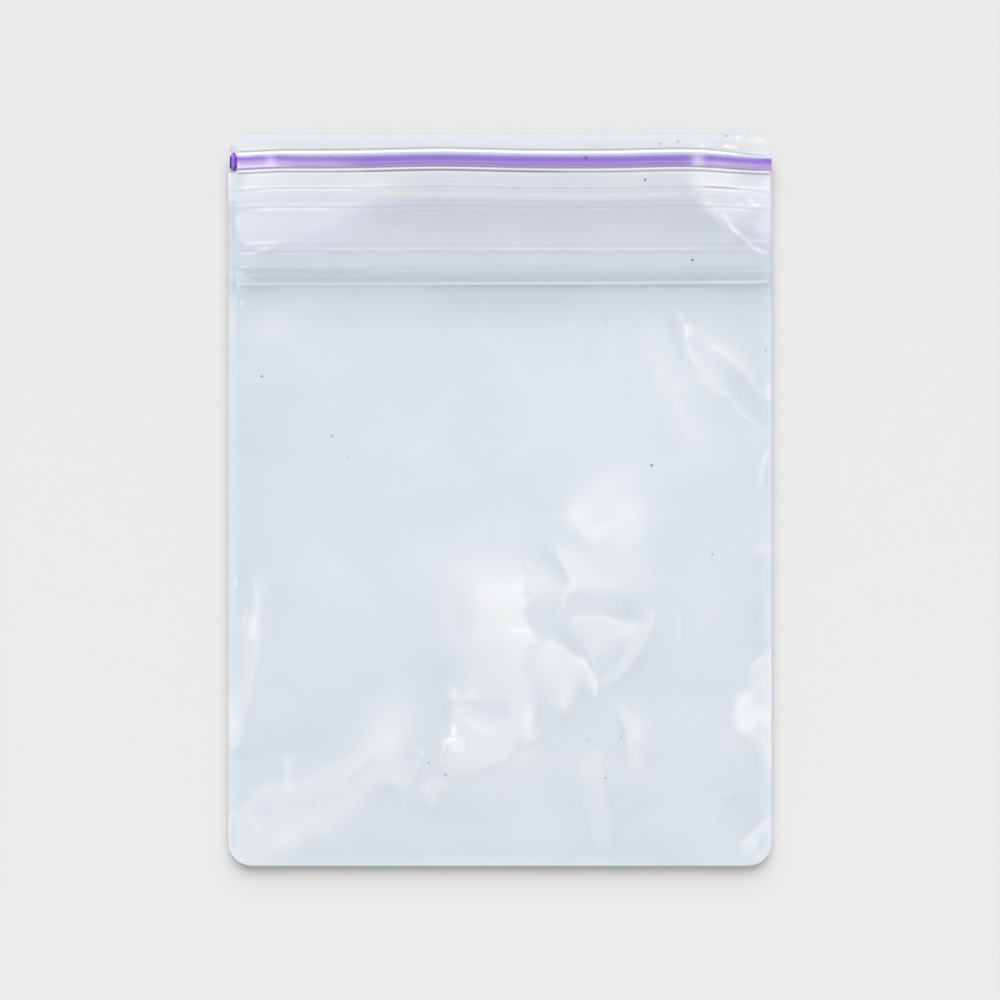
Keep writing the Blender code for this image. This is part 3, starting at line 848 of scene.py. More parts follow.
# %% The patches
PATCHES = (
    # Broad glows
    Patch(1.0, -19.0, 4.4, 4.4, 0.12),
    Patch(5.4, -27.5, 3.6, 4.6, 0.17),
    Patch(8.6, -33.0, 3.0, 4.0, 0.10),
    Patch(15.5, -16.5, 10.0, 3.4, 0.20),
    Patch(-28.0, -20.0, 15.0, 14.0, 0.13),
    Patch(-13.0, -11.0, 7.0, 6.0, 0.10),
    Patch(2.0, -49.0, 20.0, 6.5, 0.16),
    Patch(4.0, -46.6, 3.4, 2.4, 0.16),
    Patch(35.0, -50.0, 13.0, 9.0, 0.12),
    Patch(36.5, -20.0, 7.0, 11.0, 0.13),
    Patch(-35.0, -60.8, 9.0, 3.2, 0.17, 25.0),
    Patch(-23.0, -46.5, 9.0, 5.0, 0.13, 35.0),
    Patch(44.2, -43.0, 3.0, 4.0, 0.15),
    Patch(41.5, 27.0, 4.0, 3.0, 0.15, -30.0),
    Patch(38.0, 9.0, 6.0, 4.4, 0.12),
    Patch(-44.6, -27.0, 1.2, 8.0, 0.12),
    Patch(16.5, 18.5, 25.0, 18.0, 0.12),
    Patch(-1.0, -17.0, 9.0, 9.0, 0.14),
    Patch(-9.2, -23.0, 3.2, 6.5, 0.18),
    Patch(7.0, -15.0, 3.5, 2.5, 0.20),
    Patch(15.4, -13.6, 1.8, 2.2, 0.12),
    Patch(18.4, -27.4, 2.6, 2.6, 0.16),
    Patch(7.2, -29.6, 2.0, 3.4, 0.14),
    Patch(8.6, -20.6, 2.0, 1.8, 0.10),
    Patch(20.8, 3.8, 4.5, 4.0, 0.14),
    Patch(20.4, 25.6, 1.8, 5.0, 0.07),
    Patch(34.0, 22.0, 2.2, 2.2, 0.08),
    Patch(39.5, 23.4, 1.5, 1.5, 0.08),
    Patch(-42.5, 31.8, 4.6, 2.9, 0.18),
    # Small bright spots and folds
    Patch(11.4, -19.6, 0.35, 0.35, 0.30),
    Patch(5.2, -40.4, 1.0, 2.4, 0.22),
    Patch(-8.4, -35.7, 0.7, 0.7, 0.17),
    Patch(-5.2, -35.9, 0.8, 0.8, 0.13),
    Patch(24.8, -43.0, 1.3, 1.8, 0.10),
    Patch(17.0, -48.0, 6.0, 2.5, 0.05),
    Patch(-48.8, -42.0, 0.8, 2.0, 0.12),
    Patch(-44.0, -15.0, 1.6, 2.0, 0.12),
    Patch(-43.4, -22.0, 1.2, 7.0, 0.06),
    Patch(-20.5, -44.0, 2.2, 2.4, 0.12),
    Patch(-27.6, -55.2, 1.4, 1.6, 0.08),
    Patch(-40.0, -62.5, 4.0, 2.0, 0.06, 30.0),
    Patch(-46.0, -65.5, 3.0, 1.5, 0.12),
    Patch(48.2, -33.6, 1.0, 1.2, 0.08),
    Patch(40.0, -42.0, 5.0, 4.0, 0.05),
    Patch(46.6, -62.9, 0.9, 1.2, 0.18),
    Patch(47.6, 7.5, 2.2, 6.0, 0.10),
    Patch(47.0, -4.5, 2.6, 3.4, 0.09),
    Patch(48.4, -9.2, 1.8, 1.2, 0.32, 0.0, 0.04),
    Patch(49.4, -20.4, 0.9, 3.0, 0.18, 0.0, 0.03),
    Patch(13.2, -20.5, 4.0, 1.2, 0.18),
    Patch(34.9, 31.2, 0.9, 1.6, 0.24),
    # Clearer, greyer film, where the two layers cling, and painted shade
    Patch(1.0, -13.8, 2.6, 2.2, -0.12),
    Patch(46.0, -61.6, 2.4, 2.4, -0.10),
    Patch(44.5, -39.5, 2.0, 3.0, -0.08),
    Patch(15.5, -41.5, 6.5, 4.0, -0.07),
    Patch(-40.0, -43.0, 7.0, 4.0, -0.10),
    Patch(-46.0, -47.0, 3.0, 1.6, -0.10),
    Patch(-43.4, -57.0, 1.6, 1.2, -0.11),
    Patch(-8.3, -57.7, 7.0, 3.4, -0.08),
    Patch(46.0, -26.6, 4.0, 1.5, -0.06),
    Patch(38.0, -35.5, 5.0, 2.0, -0.06),
    Patch(49.2, 3.5, 0.5, 3.4, -0.16),
    Patch(-32.0, 4.0, 13.0, 13.0, -0.10),
    Patch(-2.0, 16.0, 12.0, 12.0, -0.08),
)
print(len(PATCHES), "patches")

# %% [markdown]
# ## The height of the front film
#
# The film drapes over the violet track and over the seal strip, runs across the finger ribs, and
# is pressed flat where it is welded. Each is a term that adds to the height. The facets, creases
# and patches add theirs, and many small waves that run every way stand for the faint crumple of
# the rest. The waves come from a seeded draw, so they are the same each time.

# %% Height of the closure's tape
RIBS = ((57.5, 0.07), (56.1, 0.02), (54.2, 0.07), (47.4, 0.04), (46.0, 0.05))
RIB_HALF = 0.3
TAPE_HEIGHT = 0.5
SKIRT_HEIGHT = 0.25
RIDGE_HEIGHT = 0.15


def closure_relief(row):
    """Height of the tape, the skirt that slopes up to the track, the ridge over it and the ribs."""
    under_track = np.clip(TRACK_ROW - row, 0.0, None)
    lip = past_track(row)
    tape = TAPE_HEIGHT * ease((row - 31.0) / 9.0) * (1.0 - 0.9 * lip)
    skirt = SKIRT_HEIGHT * ease(1.0 - (under_track - 1.4) / 5.5) * (1.0 - lip)
    ridge = RIDGE_HEIGHT * ease(1.0 - (np.abs(row - TRACK_ROW) - 0.85) / 0.8)
    ribs = sum(high * bell((row - rib) / RIB_HALF) for rib, high in RIBS)
    return tape + skirt + ridge + ribs


# %% Height of the whole front
CRINKLE_HEIGHT = 0.04
# A facet's height has a softer edge than its light, by this much.
HEIGHT_SPREAD = 0.8


def crinkle(x, y, seed=11, waves=26):
    """Many small waves that run every way, from 2.5 to 12 mm long, as crumpled film has."""
    draw = np.random.default_rng(seed)
    angle = draw.uniform(0.0, np.pi, waves)
    length = draw.uniform(2.5, 12.0, waves)
    phase = draw.uniform(0.0, 2.0 * np.pi, waves)
    total = np.zeros(x.shape)
    for a, l, p in zip(angle, length, phase):
        total += l * np.sin(2.0 * np.pi * (x * np.cos(a) + y * np.sin(a)) / l + p)
    return total / (length.sum() * 0.5)


def added_up(x, y, value, facets=(), creases=(), patches=(), spread=0.0):
    """Every shape times its own value, which is "light" or "height", added up."""
    total = np.zeros(x.shape)
    for facet in facets:
        total += getattr(facet, value) * facet_shape(x, y, facet.outline, spread)
    for crease in creases:
        total += getattr(crease, value) * crease_shape(x, y, crease)
    for patch in patches:
        total += getattr(patch, value) * patch_shape(x, y, patch)
    return total


def film_height(x, y, row):
    """The front film over the table: underside, edge, body, closure and wrinkles."""
    welded = ease(from_side(x, y) / np.where(x > 0.0, WELD_RIGHT, WELD_LEFT))
    inside = ease((from_side(x, y) - 0.5) / 3.0) * ease((HALF_LENGTH - np.abs(y)) / 3.0)
    wrinkles = added_up(x, y, "height", FACETS, CREASES, PATCHES, HEIGHT_SPREAD)
    wrinkles = wrinkles + CRINKLE_HEIGHT * crinkle(x, y)
    base = FILM_GAP + lift(x, y, FRONT_REACH) + LIP_LIFT * past_track(row)
    return base + closure_relief(row) * welded + AIR_HEIGHT * body_puff(x, y) + wrinkles * inside


# %% [markdown]
# ## The lines of the closure
#
# The closure shows as lines that run across the bag: at each rib and fold the film bends, and a
# bend is seen edge-on, so it is more opaque than flat film. Its colour is painted light: a
# painted highlight where it turns to the light and painted shade where it turns from it. Each
# line has a row, its half-width, its strength, the stretch of the bag that it crosses and the
# length over which its ends fade. A few also slope, or droop towards the right end. The softer
# lines of the seal strip only add to the haze: darker bands over the strip, and a painted
# highlight along and below its lower edge.

# %% Lines of the closure
# Fade is a length, slope is mm up for each mm to the right, and droop is mm down at the right end.
Line = namedtuple("Line", "row half light start end fade slope droop", defaults=(3.0, 0.0, 0.0))
BEND_LIGHTS_AND_SHADES = (
    # Above and below the track
    Line(64.80, 0.15, 0.30, -48.6, -40.0, 1.0),
    Line(64.37, 0.16, -1.00, -48.6, 49.8, 0.8, 0.0, 0.6),
    Line(63.95, 0.16, -0.60, 43.0, 49.8, 2.0),
    Line(63.95, 0.20, 0.55, -48.7, 49.9, 0.5, 0.0, 0.4),
    Line(60.83, 0.18, 0.65, -48.6, 49.9, 0.6),
    Line(60.39, 0.18, -1.10, -48.6, 49.9, 0.6),
    Line(60.46, 0.17, -0.45, -28.0, 14.0, 8.0),
    Line(60.02, 0.20, 0.20, -48.0, 49.8),
    # The ribs
    Line(57.54, 0.17, -0.28, -47.0, 49.0),
    Line(57.54, 0.17, -0.14, -47.0, -26.0),
    Line(57.54, 0.18, -0.70, 36.0, 45.0),
    Line(57.12, 0.17, 0.20, -46.0, 49.0),
    Line(57.12, 0.17, 0.25, -46.0, -25.0),
    Line(57.12, 0.17, 0.35, 35.0, 47.0),
    Line(56.54, 0.20, -0.08, -28.0, 34.0),
    Line(56.08, 0.20, 0.08, -28.0, 34.0),
    Line(54.10, 0.20, -0.12, -47.0, 48.0),
    Line(53.60, 0.20, 0.12, -47.0, 48.0),
    Line(53.60, 0.20, 0.30, -46.0, -30.0),
    Line(53.70, 0.20, 0.25, 38.0, 47.0),
    Line(46.30, 0.20, 0.10, -39.0, 38.0),
    Line(45.82, 0.20, -0.22, -44.0, 46.0),
    Line(45.45, 0.25, 0.18, -43.0, -30.0),
    # The lower edge of the seal strip
    Line(39.92, 0.17, 0.32, -48.2, 49.8, 1.0, 0.0050),
    Line(39.52, 0.16, -0.10, -48.2, 10.0, 5.0, 0.0050),
)
STRIP_LINES = (
    Line(42.10, 0.35, -0.75, -48.0, -24.0, 1.5),
    Line(42.40, 0.60, -0.14, -28.0, 49.8),
    Line(41.80, 0.45, -0.20, -26.0, 49.8),
    Line(41.20, 0.50, -0.17, -48.5, 49.8),
    Line(40.60, 0.50, -0.32, -47.0, 49.8),
    Line(39.92, 0.17, 0.15, -48.2, 49.8, 1.0, 0.0050),
    Line(39.30, 0.25, 0.30, -48.2, 0.0, 20.0, 0.0050),
)
print(len(BEND_LIGHTS_AND_SHADES), "bends of the closure and", len(STRIP_LINES), "soft lines of its seal strip")

# %% [markdown]
# The tape between the lines has its own look. Where it is shut it is clear near the seal strip and
# whiter under the track: partly milky film and partly painted light, which lifts the film where the
# track's shadow falls on the table. On the lip the tones fall to painted shade, which darkens the
# lip where the lamp lights the table under it. At both ends its two films have parted and look
# paler, with a few sharp creases at the rim. So the tape has two tables of tones, each a haze for
# a row, and two facets that say where the second table holds.

# %% The tape's parted ends, creases and spots
PARTED_TOP = 61.3
PARTED_LEFT = (
    (-48.2, 60.4, 0.4), (-36.0, 61.4, 0.7), (-18.0, 61.0, 1.5), (-18.0, 58.5, 1.5),
    (-21.5, 55.5, 1.6), (-25.0, 52.4, 1.6), (-29.0, 49.4, 1.4), (-34.0, 47.2, 1.1),
    (-41.0, 46.2, 0.7), (-46.6, 46.4, 0.6), (-48.4, 48.6, 0.5), (-48.6, 55.0, 0.5),
)
PARTED_RIGHT = (
    (34.0, 60.6, 0.6), (35.2, 58.5, 0.6), (36.4, 55.5, 0.7), (38.6, 53.0, 0.7),
    (40.6, 51.2, 0.7), (43.6, 50.4, 0.8), (46.4, 49.8, 0.7), (47.6, 48.6, 0.7),
    (49.4, 48.0, 0.6), (50.6, 52.0, 0.5), (50.6, 60.6, 0.5), (43.0, 60.8, 0.5),
)
# As on the body, a light above 0 is partly a painted highlight, and below 0 partly painted shade.
TAPE_CREASES = (
    # The curl and the strokes at the left end
    Crease(((-47.4, 52.7), (-48.3, 52.0), (-48.4, 50.6), (-48.0, 49.0)), 0.4, 0.3, 0.30),
    Crease(((-47.6, 47.1), (-44.0, 47.35), (-40.0, 47.35)), 0.22, 0.28, 0.42),
    Crease(((-42.2, 46.6), (-43.6, 46.3), (-45.4, 45.7)), 0.5, 0.45, 0.40),
    Crease(((-44.6, 45.5), (-46.4, 45.35), (-48.4, 45.4)), 0.3, 0.3, 0.65),
    Crease(((-42.6, 46.9), (-45.2, 46.1), (-47.2, 46.2)), 0.3, 0.3, -0.25),
    Crease(((-48.4, 41.8), (-48.9, 40.8), (-48.6, 39.4)), 0.25, 0.25, -0.35),
    Crease(((-48.0, 41.0), (-47.0, 40.85), (-45.8, 40.8)), 0.25, 0.25, 0.25),
    Crease(((-48.0, 42.9), (-47.2, 42.9), (-46.2, 42.8)), 0.25, 0.25, 0.45),
    # The crisp crease that runs from the fold to the right edge
    Crease(
        (
            (40.6, 54.4), (41.0, 53.2), (41.5, 52.0), (42.3, 50.7), (43.0, 49.8), (44.2, 48.9),
            (45.4, 47.5), (46.4, 46.6), (47.9, 45.7), (49.0, 45.4), (50.2, 44.6),
        ),
        0.35, 0.30, 0.50,
    ),
    Crease(((42.1, 51.0), (43.0, 49.8), (44.4, 48.7)), 0.35, 0.30, 0.50),
    Crease(((44.6, 47.9), (45.4, 47.6), (46.4, 46.9)), 0.30, 0.25, 0.40),
    Crease(((46.8, 46.3), (47.9, 45.7), (49.4, 45.3)), 0.35, 0.30, 0.55),
    Crease(((45.7, 55.8), (46.5, 54.6), (47.8, 54.0)), 0.3, 0.3, 0.34),
    Crease(((43.4, 47.3), (44.6, 47.5), (46.2, 47.3)), 0.22, 0.22, -0.60),
    Crease(((45.6, 47.6), (47.6, 47.8), (49.8, 47.2)), 0.25, 0.25, 0.35),
    # The lip
    Crease(((35.6, 66.2), (36.7, 65.7), (37.8, 65.3)), 0.3, 0.4, 0.30),
    Crease(((40.2, 65.0), (42.0, 65.0), (44.4, 64.8)), 0.25, 0.3, 0.55),
    Crease(((45.0, 66.5), (46.2, 66.5), (47.6, 66.4)), 0.25, 0.25, -0.50),
    Crease(((45.4, 66.1), (47.0, 66.1), (48.6, 66.0)), 0.25, 0.25, 1.00),
)
TAPE_PATCHES = (
    # The lip
    Patch(-43.5, 66.2, 6.0, 2.6, 0.20),
    Patch(36.6, 66.2, 2.0, 2.4, 0.30),
    Patch(43.7, 66.6, 0.35, 0.30, 2.20),
    Patch(41.8, 65.4, 0.30, 0.25, 0.90),
    Patch(48.0, 66.2, 2.6, 2.0, 0.15),
    # The glow beside the whitened fold
    Patch(39.4, 58.8, 3.4, 2.0, 0.32),
    Patch(38.2, 54.2, 1.4, 2.6, 0.24),
    Patch(41.6, 49.8, 2.0, 2.4, 0.26),
    Patch(44.8, 51.4, 1.3, 1.4, -0.12),
    Patch(46.6, 60.0, 2.6, 1.6, -0.32),
    # The left and right edges
    Patch(-48.2, 58.4, 1.2, 2.0, -0.40),
    Patch(-47.6, 54.0, 1.6, 1.6, -0.15),
    Patch(46.4, 52.0, 1.6, 1.2, -0.20),
    Patch(-47.0, 44.0, 3.0, 1.4, 0.22),
    Patch(-49.2, 39.6, 0.9, 1.8, -0.40),
    Patch(39.8, 52.8, 0.8, 1.2, 0.18),
)

# %% The tape's tones
TAPE_TONES = (
    (41.8, 0.0), (42.5, -0.44), (43.8, -0.34), (44.8, -0.36), (46.8, -0.34), (49.0, -0.34),
    (51.7, -0.44), (53.2, -0.38), (54.6, -0.22), (55.8, 0.36), (57.5, 0.36), (58.5, 0.62),
    (59.3, 0.76), (59.9, 0.80), (60.6, 0.80), (61.0, 0.0), (64.7, 0.0), (65.1, 0.20),
    (65.8, -0.50), (66.6, -0.60), (66.9, -0.80), (67.3, -1.00),
)
PARTED_TONES = (
    (41.8, 0.0), (42.5, -0.35), (44.6, -0.26), (46.6, 0.08), (48.7, 0.16), (50.2, 0.26),
    (52.9, 0.30), (54.8, 0.36), (56.0, 0.48), (58.5, 0.80), (59.3, 0.88), (59.9, 0.90),
    (60.6, 0.85), (61.0, 0.0),
)
print("tape: tones at", len(TAPE_TONES), "rows where shut and", len(PARTED_TONES), "where parted")


# %% Haze and hue of the film
DROOP_LENGTH = 13.0
SHADE_ROW = 39.8


def line_shape(x, row, line):
    """A bell across the line, which fades at both ends."""
    reach = ease((x - line.start) / line.fade) * ease((line.end - x) / line.fade)
    droop = line.droop * ease((x - HALF_WIDTH) / DROOP_LENGTH + 1.0)
    return bell((row - line.row - line.slope * x + droop) / line.half) * reach


def strip_shade(x, row):
    """How much clearer and darker the film is just below the seal strip: painted shade where the
    film curves down from the strip, and clear film where it clings. A bell of the distance, deeper
    and wider round the middle of the bag."""
    middle = bell((x - 4.0) / 26.0)
    below = SHADE_ROW - row
    away = np.clip(below, 0.0, None) / (3.3 + 2.0 * middle)
    return (0.34 + 0.30 * middle) * bell(away) * ease(below / 0.5)


def film_haze_and_painted_light(x, y, row):
    """How milky the film is, with painted light in the same number: above 0 it whitens, as milky
    film and as painted highlights; below 0 it clears and greys, as clear film and as painted shade.
    Wrinkles, strip lines and the tape's tones add up. The film is clearer and darker below the
    strip, where shade is painted, and clearer on the hem."""
    haze = added_up(x, y, "light", FACETS, CREASES + TAPE_CREASES, PATCHES + TAPE_PATCHES)
    haze = haze + sum(line.light * line_shape(x, row, line) for line in STRIP_LINES)
    parted = facet_shape(x, y, PARTED_LEFT) + facet_shape(x, y, PARTED_RIGHT)
    shut, open_film = (np.interp(row, *zip(*tones)) for tones in (TAPE_TONES, PARTED_TONES))
    tape = shut + (open_film - shut) * np.where(row < PARTED_TOP, parted, 0.0)
    hem = -0.06 * ease(1.0 - (y + HALF_LENGTH) / 1.6)
    return haze + tape - strip_shade(x, row) + hem


def film_tint(x, row):
    """The hue of the film: 1 is the lavender of the tape, and -1 the neutral grey of the lip."""
    tape = ease((row - 43.5) / 4.0) * ease((61.4 - row) / 0.6)
    fold = 1.0 - 0.5 * bell((x - 39.5) / 2.5)
    return tape * fold - ease((row - 64.4) / 0.8)


# %% [markdown]
# ## The shell of the bag
#
# A grid of even squares would waste points on the plain body and starve the closure, where a
# rib is half a millimetre wide. So the rows and columns are spaced by a table of step sizes: the
# count of rows up to y is the sum of 1 / step, and the rows lie where that count is whole.

# %% Rows and columns
ROW_SPANS = 402
COLUMN_SPANS = 207
BACK_EVERY = 3
COARSE = (slice(None, None, BACK_EVERY),) * 2
ROW_STEPS = (
    (-HALF_LENGTH, 0.15), (-66.0, 0.35), (-62.0, 0.45), (-20.0, 0.42), (30.0, 0.50), (36.0, 0.22),
    (46.0, 0.22), (52.0, 0.28), (56.0, 0.18), (66.0, 0.17), (HALF_LENGTH, 0.12),
)
COLUMN_STEPS = (
    (-1.0, 0.25), (-0.96, 0.40), (-0.9, 0.60), (-0.3, 0.60), (-0.15, 0.40), (0.55, 0.40),
    (0.7, 0.50), (0.9, 0.50), (0.97, 0.30), (1.0, 0.25),
)


def spaced(steps_at, spans):
    """Places from the first to the last of pairs of a place and the step wanted there, so that
    their spacing follows those steps."""
    places, steps = zip(*steps_at)
    fine = np.linspace(places[0], places[-1], 20001)
    density = 1.0 / np.interp(fine, places, steps)
    count = np.concatenate(([0.0], np.cumsum(0.5 * (density[1:] + density[:-1]))))
    return np.interp(np.linspace(0.0, count[-1], spans + 1), count, fine)


rows = spaced(ROW_STEPS, ROW_SPANS)
columns = spaced(COLUMN_STEPS, COLUMN_SPANS)
print("rows", np.diff(rows).min().round(3), "to", np.diff(rows).max().round(3), "mm apart")

# %% [markdown]
# The bag is one closed shell. Its front carries the wrinkles. Its back lies on the table, so a
# grid three times coarser is enough, and a narrow rim joins the two: each edge of the back meets
# three edges of the front, which four triangles fill.


# %% The shell
def plan(row, column):
    """Where a row and a column cross, seen from above."""
    straight = column * HALF_WIDTH
    y = row + closure_wave(straight) * wave_share(row)
    return column * half_width(y), y


def edge_ring(rows_count, columns_count):
    """Indices round the edge of a grid, anticlockwise seen from above."""
    index = np.arange(rows_count * columns_count).reshape(rows_count, columns_count)
    sides = (index[0, :-1], index[:-1, -1], index[-1, :0:-1], index[:0:-1, 0])
    return np.concatenate(sides)


def rim_faces(front_shape, back_shape):
    """Four triangles for each edge of the back, which meets three edges of the front."""
    outer = edge_ring(*front_shape)
    b0 = edge_ring(*back_shape) + front_shape[0] * front_shape[1]
    b1 = np.roll(b0, -1)
    f0, f1, f2 = outer[0::3], outer[1::3], outer[2::3]
    f3 = np.roll(f0, -1)
    corners = ((b0, f1, f0), (b0, f2, f1), (b0, b1, f2), (b1, f3, f2))
    return np.concatenate([np.stack(corner, axis=-1) for corner in corners])


def film_shell():
    """Points of the front and back grids, the faces of both and of the rim, and the front's
    places and rows."""
    row, column = np.meshgrid(rows, columns, indexing="ij")
    x, y = plan(row, column)
    front = np.stack((x, y, film_height(x, y, row)), axis=-1)
    back_x, back_y = x[COARSE], y[COARSE]
    back_height = underside(back_x, back_y) + LIP_LIFT * past_track(row[COARSE])
    back = np.stack((back_x, back_y, back_height), axis=-1)
    front_faces = grid_faces(*x.shape)
    back_faces = grid_faces(*back.shape[:2])[:, ::-1] + x.size
    points = np.concatenate((front.reshape(-1, 3), back.reshape(-1, 3)))
    faces = front_faces.tolist() + back_faces.tolist()
    return points, faces + rim_faces(x.shape, back.shape[:2]).tolist(), (x, y, row)


points, faces, (front_x, front_y, front_row) = film_shell()
print("film stands", points[:, 2].max().round(2), "mm over the table")

# %% [markdown]
# ## The finish of the film
#
# Film is a thin veil: the table shows through it, and its own tone covers part of that. A glass
# shader with real thickness would need light to pass two walls and would be slow and noisy, so
# the veil is a plain surface with Alpha. Five numbers painted on the points steer it. Above 0, the
# haze and painted light turns the veil milky and lays painted highlights on it. Below 0, it turns
# the veil clear and grey and lays painted shade. Tint gives the lavender of the tape or the neutral
# lip. The bend's light and shade draws the lines that are seen edge-on: painted highlights above 0
# and painted shade below. Bare thins the veil over the violet track and on the lip, and weld
# thickens it along the edges of the back.

# %% Tones of the film
PLAIN_TONE = (0.655, 0.715, 0.77)
LAVENDER_TONE = (0.655, 0.675, 0.80)
NEUTRAL_TONE = (0.70, 0.72, 0.735)
# The tones below carry painted light as well as the film's own look. The clear tone also stands for
# painted shade, and the parted tones also stand for painted highlights. White serves the brightest
# highlights and the bends' highlight lines, and the shade tones serve the bends' painted shade.
CLEAR_AND_SHADE_TONE = (0.42, 0.465, 0.53)
PARTED_AND_HIGHLIGHT_TONE = (0.82, 0.825, 0.83)
PARTED_TAPE_AND_HIGHLIGHT_TONE = (0.785, 0.825, 0.88)
WHITE_TONE = (0.93, 0.94, 0.96)
WELD_TONE = (0.53, 0.58, 0.63)
SHADE_TONE = (0.20, 0.215, 0.24)
TAPE_SHADE_TONE = (0.21, 0.195, 0.26)
VEIL = dict(plain=0.40, milk_and_highlight=0.20, gloom_and_shade=0.10, bare=0.80, weld=0.40, bend=0.45)


def film_tone(film, milk_and_highlight, gloom_and_shade, weld, light, shade):
    """The veil's colour: its hue, greyed by clear film and painted shade, whitened by milky film
    and painted highlights in two steps, then the welds, and the painted highlights and shade of the
    bends."""
    tint = film.painted("tint")
    tape, lip = tint.clamped(), (-tint).clamped()
    tone = film.mix(tape, PLAIN_TONE, LAVENDER_TONE)
    tone = film.mix(lip, tone, NEUTRAL_TONE)
    tone = film.mix(gloom_and_shade, tone, CLEAR_AND_SHADE_TONE)
    half_milk_and_highlight = film.mix(tape, PARTED_AND_HIGHLIGHT_TONE, PARTED_TAPE_AND_HIGHLIGHT_TONE)
    tone = film.mix((milk_and_highlight * 2.0).clamped(), tone, half_milk_and_highlight)
    tone = film.mix((milk_and_highlight * 2.0 - 1.0).clamped(), tone, WHITE_TONE)
    tone = film.mix(weld * 0.9, tone, WELD_TONE)
    tone = film.mix(light, tone, WHITE_TONE)
    return film.mix(shade, tone, film.mix(tape, SHADE_TONE, TAPE_SHADE_TONE))


# %% The clear film's finish
CLOUD_HAZE = 0.26
GRAIN_HAZE = 0.05


def film_finish():
    """Clear film: clouds and a fine grain stir the painted haze and painted light, and a faint bump
    of 0.9 mm ripples breaks up the gloss."""
    film = Finish("clear film", Coat_Weight=0.3, Coat_Roughness=0.08)
    clouds = film.noise(16.0) - 0.5
    grain = film.noise(2.2, detail=1.0) - 0.5
    haze = film.painted("haze") + clouds * CLOUD_HAZE + grain * GRAIN_HAZE
    milk_and_highlight, gloom_and_shade = haze.clamped(), (-haze).clamped()
    bend, weld = film.painted("bend"), film.painted("weld")
    light, shade = bend.clamped(), (-bend).clamped()
    veil = VEIL["plain"] + milk_and_highlight * VEIL["milk_and_highlight"] - gloom_and_shade * VEIL["gloom_and_shade"]
    veil = veil * (1.0 - film.painted("bare") * VEIL["bare"])
    sockets = {
        "Base Color": film_tone(film, milk_and_highlight, gloom_and_shade, weld, light, shade),
        "Alpha": veil + weld * VEIL["weld"] + (light + shade) * VEIL["bend"],
        "Roughness": 0.34 + milk_and_highlight * 0.10 + grain * 0.06,
        "Normal": film.bump(film.noise(0.9), strength=0.25, depth_mm=0.02),
    }
    film.set(film.shader, sockets)
    return film


film = film_finish()
print("clear film:", len(film.tree.nodes), "nodes")


# %% What is painted on the pouch
BEAD_EDGE = -48.3


def bareness(x, row, front_haze_and_light):
    """Where the veil thins, in two shares: 1 over the track and over its bead, and up to 0.58
    on the lip. The lip thins less where it is creased and milky and where it carries painted
    highlights."""
    over_track = ease((TRACK_ROW + 1.45 - row) / 0.9) * ease((row - TRACK_ROW + 1.70) / 0.25)
    over_bead = ease((BEAD_EDGE - x) / 0.3) * ease((64.6 - row) / 0.3) * ease((row - 60.6) / 0.3)
    on_lip = 0.58 * ease((row - 64.6) / 0.8) * (1.0 - np.clip(front_haze_and_light - 0.25, 0.0, 1.0))
    return np.maximum(over_track, over_bead), on_lip


def weld_share(x, y):
    """1 at the edge of the back, easing to 0 over 3 mm, up to the closure."""
    from_edge = np.minimum(from_side(x, y), HALF_LENGTH - np.abs(y))
    return ease(1.0 - from_edge / 3.0) * ease((62.0 - y) / 3.0)


no_front, no_back = np.zeros(front_x.shape), np.zeros(front_x[COARSE].shape)
front_haze_and_light = film_haze_and_painted_light(front_x, front_y, front_row)
over_closure, on_lip = bareness(front_x, front_row, front_haze_and_light)
bend_lights_and_shades = sum(line.light * line_shape(front_x, front_row, line) for line in BEND_LIGHTS_AND_SHADES)
painted = {
    "haze": (front_haze_and_light, no_back),
    "bare": (over_closure + on_lip, on_lip[COARSE]),
    "tint": (film_tint(front_x, front_row), no_back),
    "bend": (bend_lights_and_shades, no_back),
    "weld": (no_front, weld_share(front_x[COARSE], front_y[COARSE])),
}
print("haze from", front_haze_and_light.min().round(2), "to", front_haze_and_light.max().round(2))

# %% The pouch
pouch = new_piece("pouch_film", points, faces, film.material)
for name, (on_front, on_back) in painted.items():
    paint_points(pouch, name, np.concatenate((on_front.ravel(), on_back.ravel())))
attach(pouch, "root")
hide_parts("film_pouch")

# %% [markdown]
# ## The violet track
#
# The track, its bead, its flange and the seal strip are all bars that follow the closure. A cube
# stretched along the bag would be straight and hard-edged. A section carried along a path can
# wander with the closure, swell and taper, and close at both ends on a middle point.

# %% Bars carried along the closure
BAR_SEAT = 0.15


def bar_section(width, height, valley=0.0, sides=28):
    """A rounded box round its own base line: cos and sin of a full turn, raised to 0.6 and 0.8,
    with a shallow valley along the middle of the top. Gives the place across, the place up, and
    the share across from -1 to 1."""
    turn = np.linspace(0.0, 2.0 * np.pi, sides, endpoint=False)
    across = np.copysign(np.abs(np.cos(turn)) ** 0.6, np.cos(turn))
    up = 0.5 * (1.0 + np.copysign(np.abs(np.sin(turn)) ** 0.8, np.sin(turn)))
    dip = valley * bell(across / 0.3) * (up > 0.5)
    return 0.5 * width * across, height * up - dip, across


def bar_points(x, middle, seat, section, wide=1.0, tall=1.0):
    """The section carried along x, sized at each place; each end closes on a middle point."""
    v, w, _ = section
    y = middle[:, None] + np.reshape(wide, (-1, 1)) * v
    z = seat[:, None] + np.reshape(tall, (-1, 1)) * w
    points = np.stack((np.repeat(x[:, None], len(v), axis=1), y, z), axis=-1)
    tips = points[[0, -1]].mean(axis=1)
    return np.concatenate((points.reshape(-1, 3), tips))


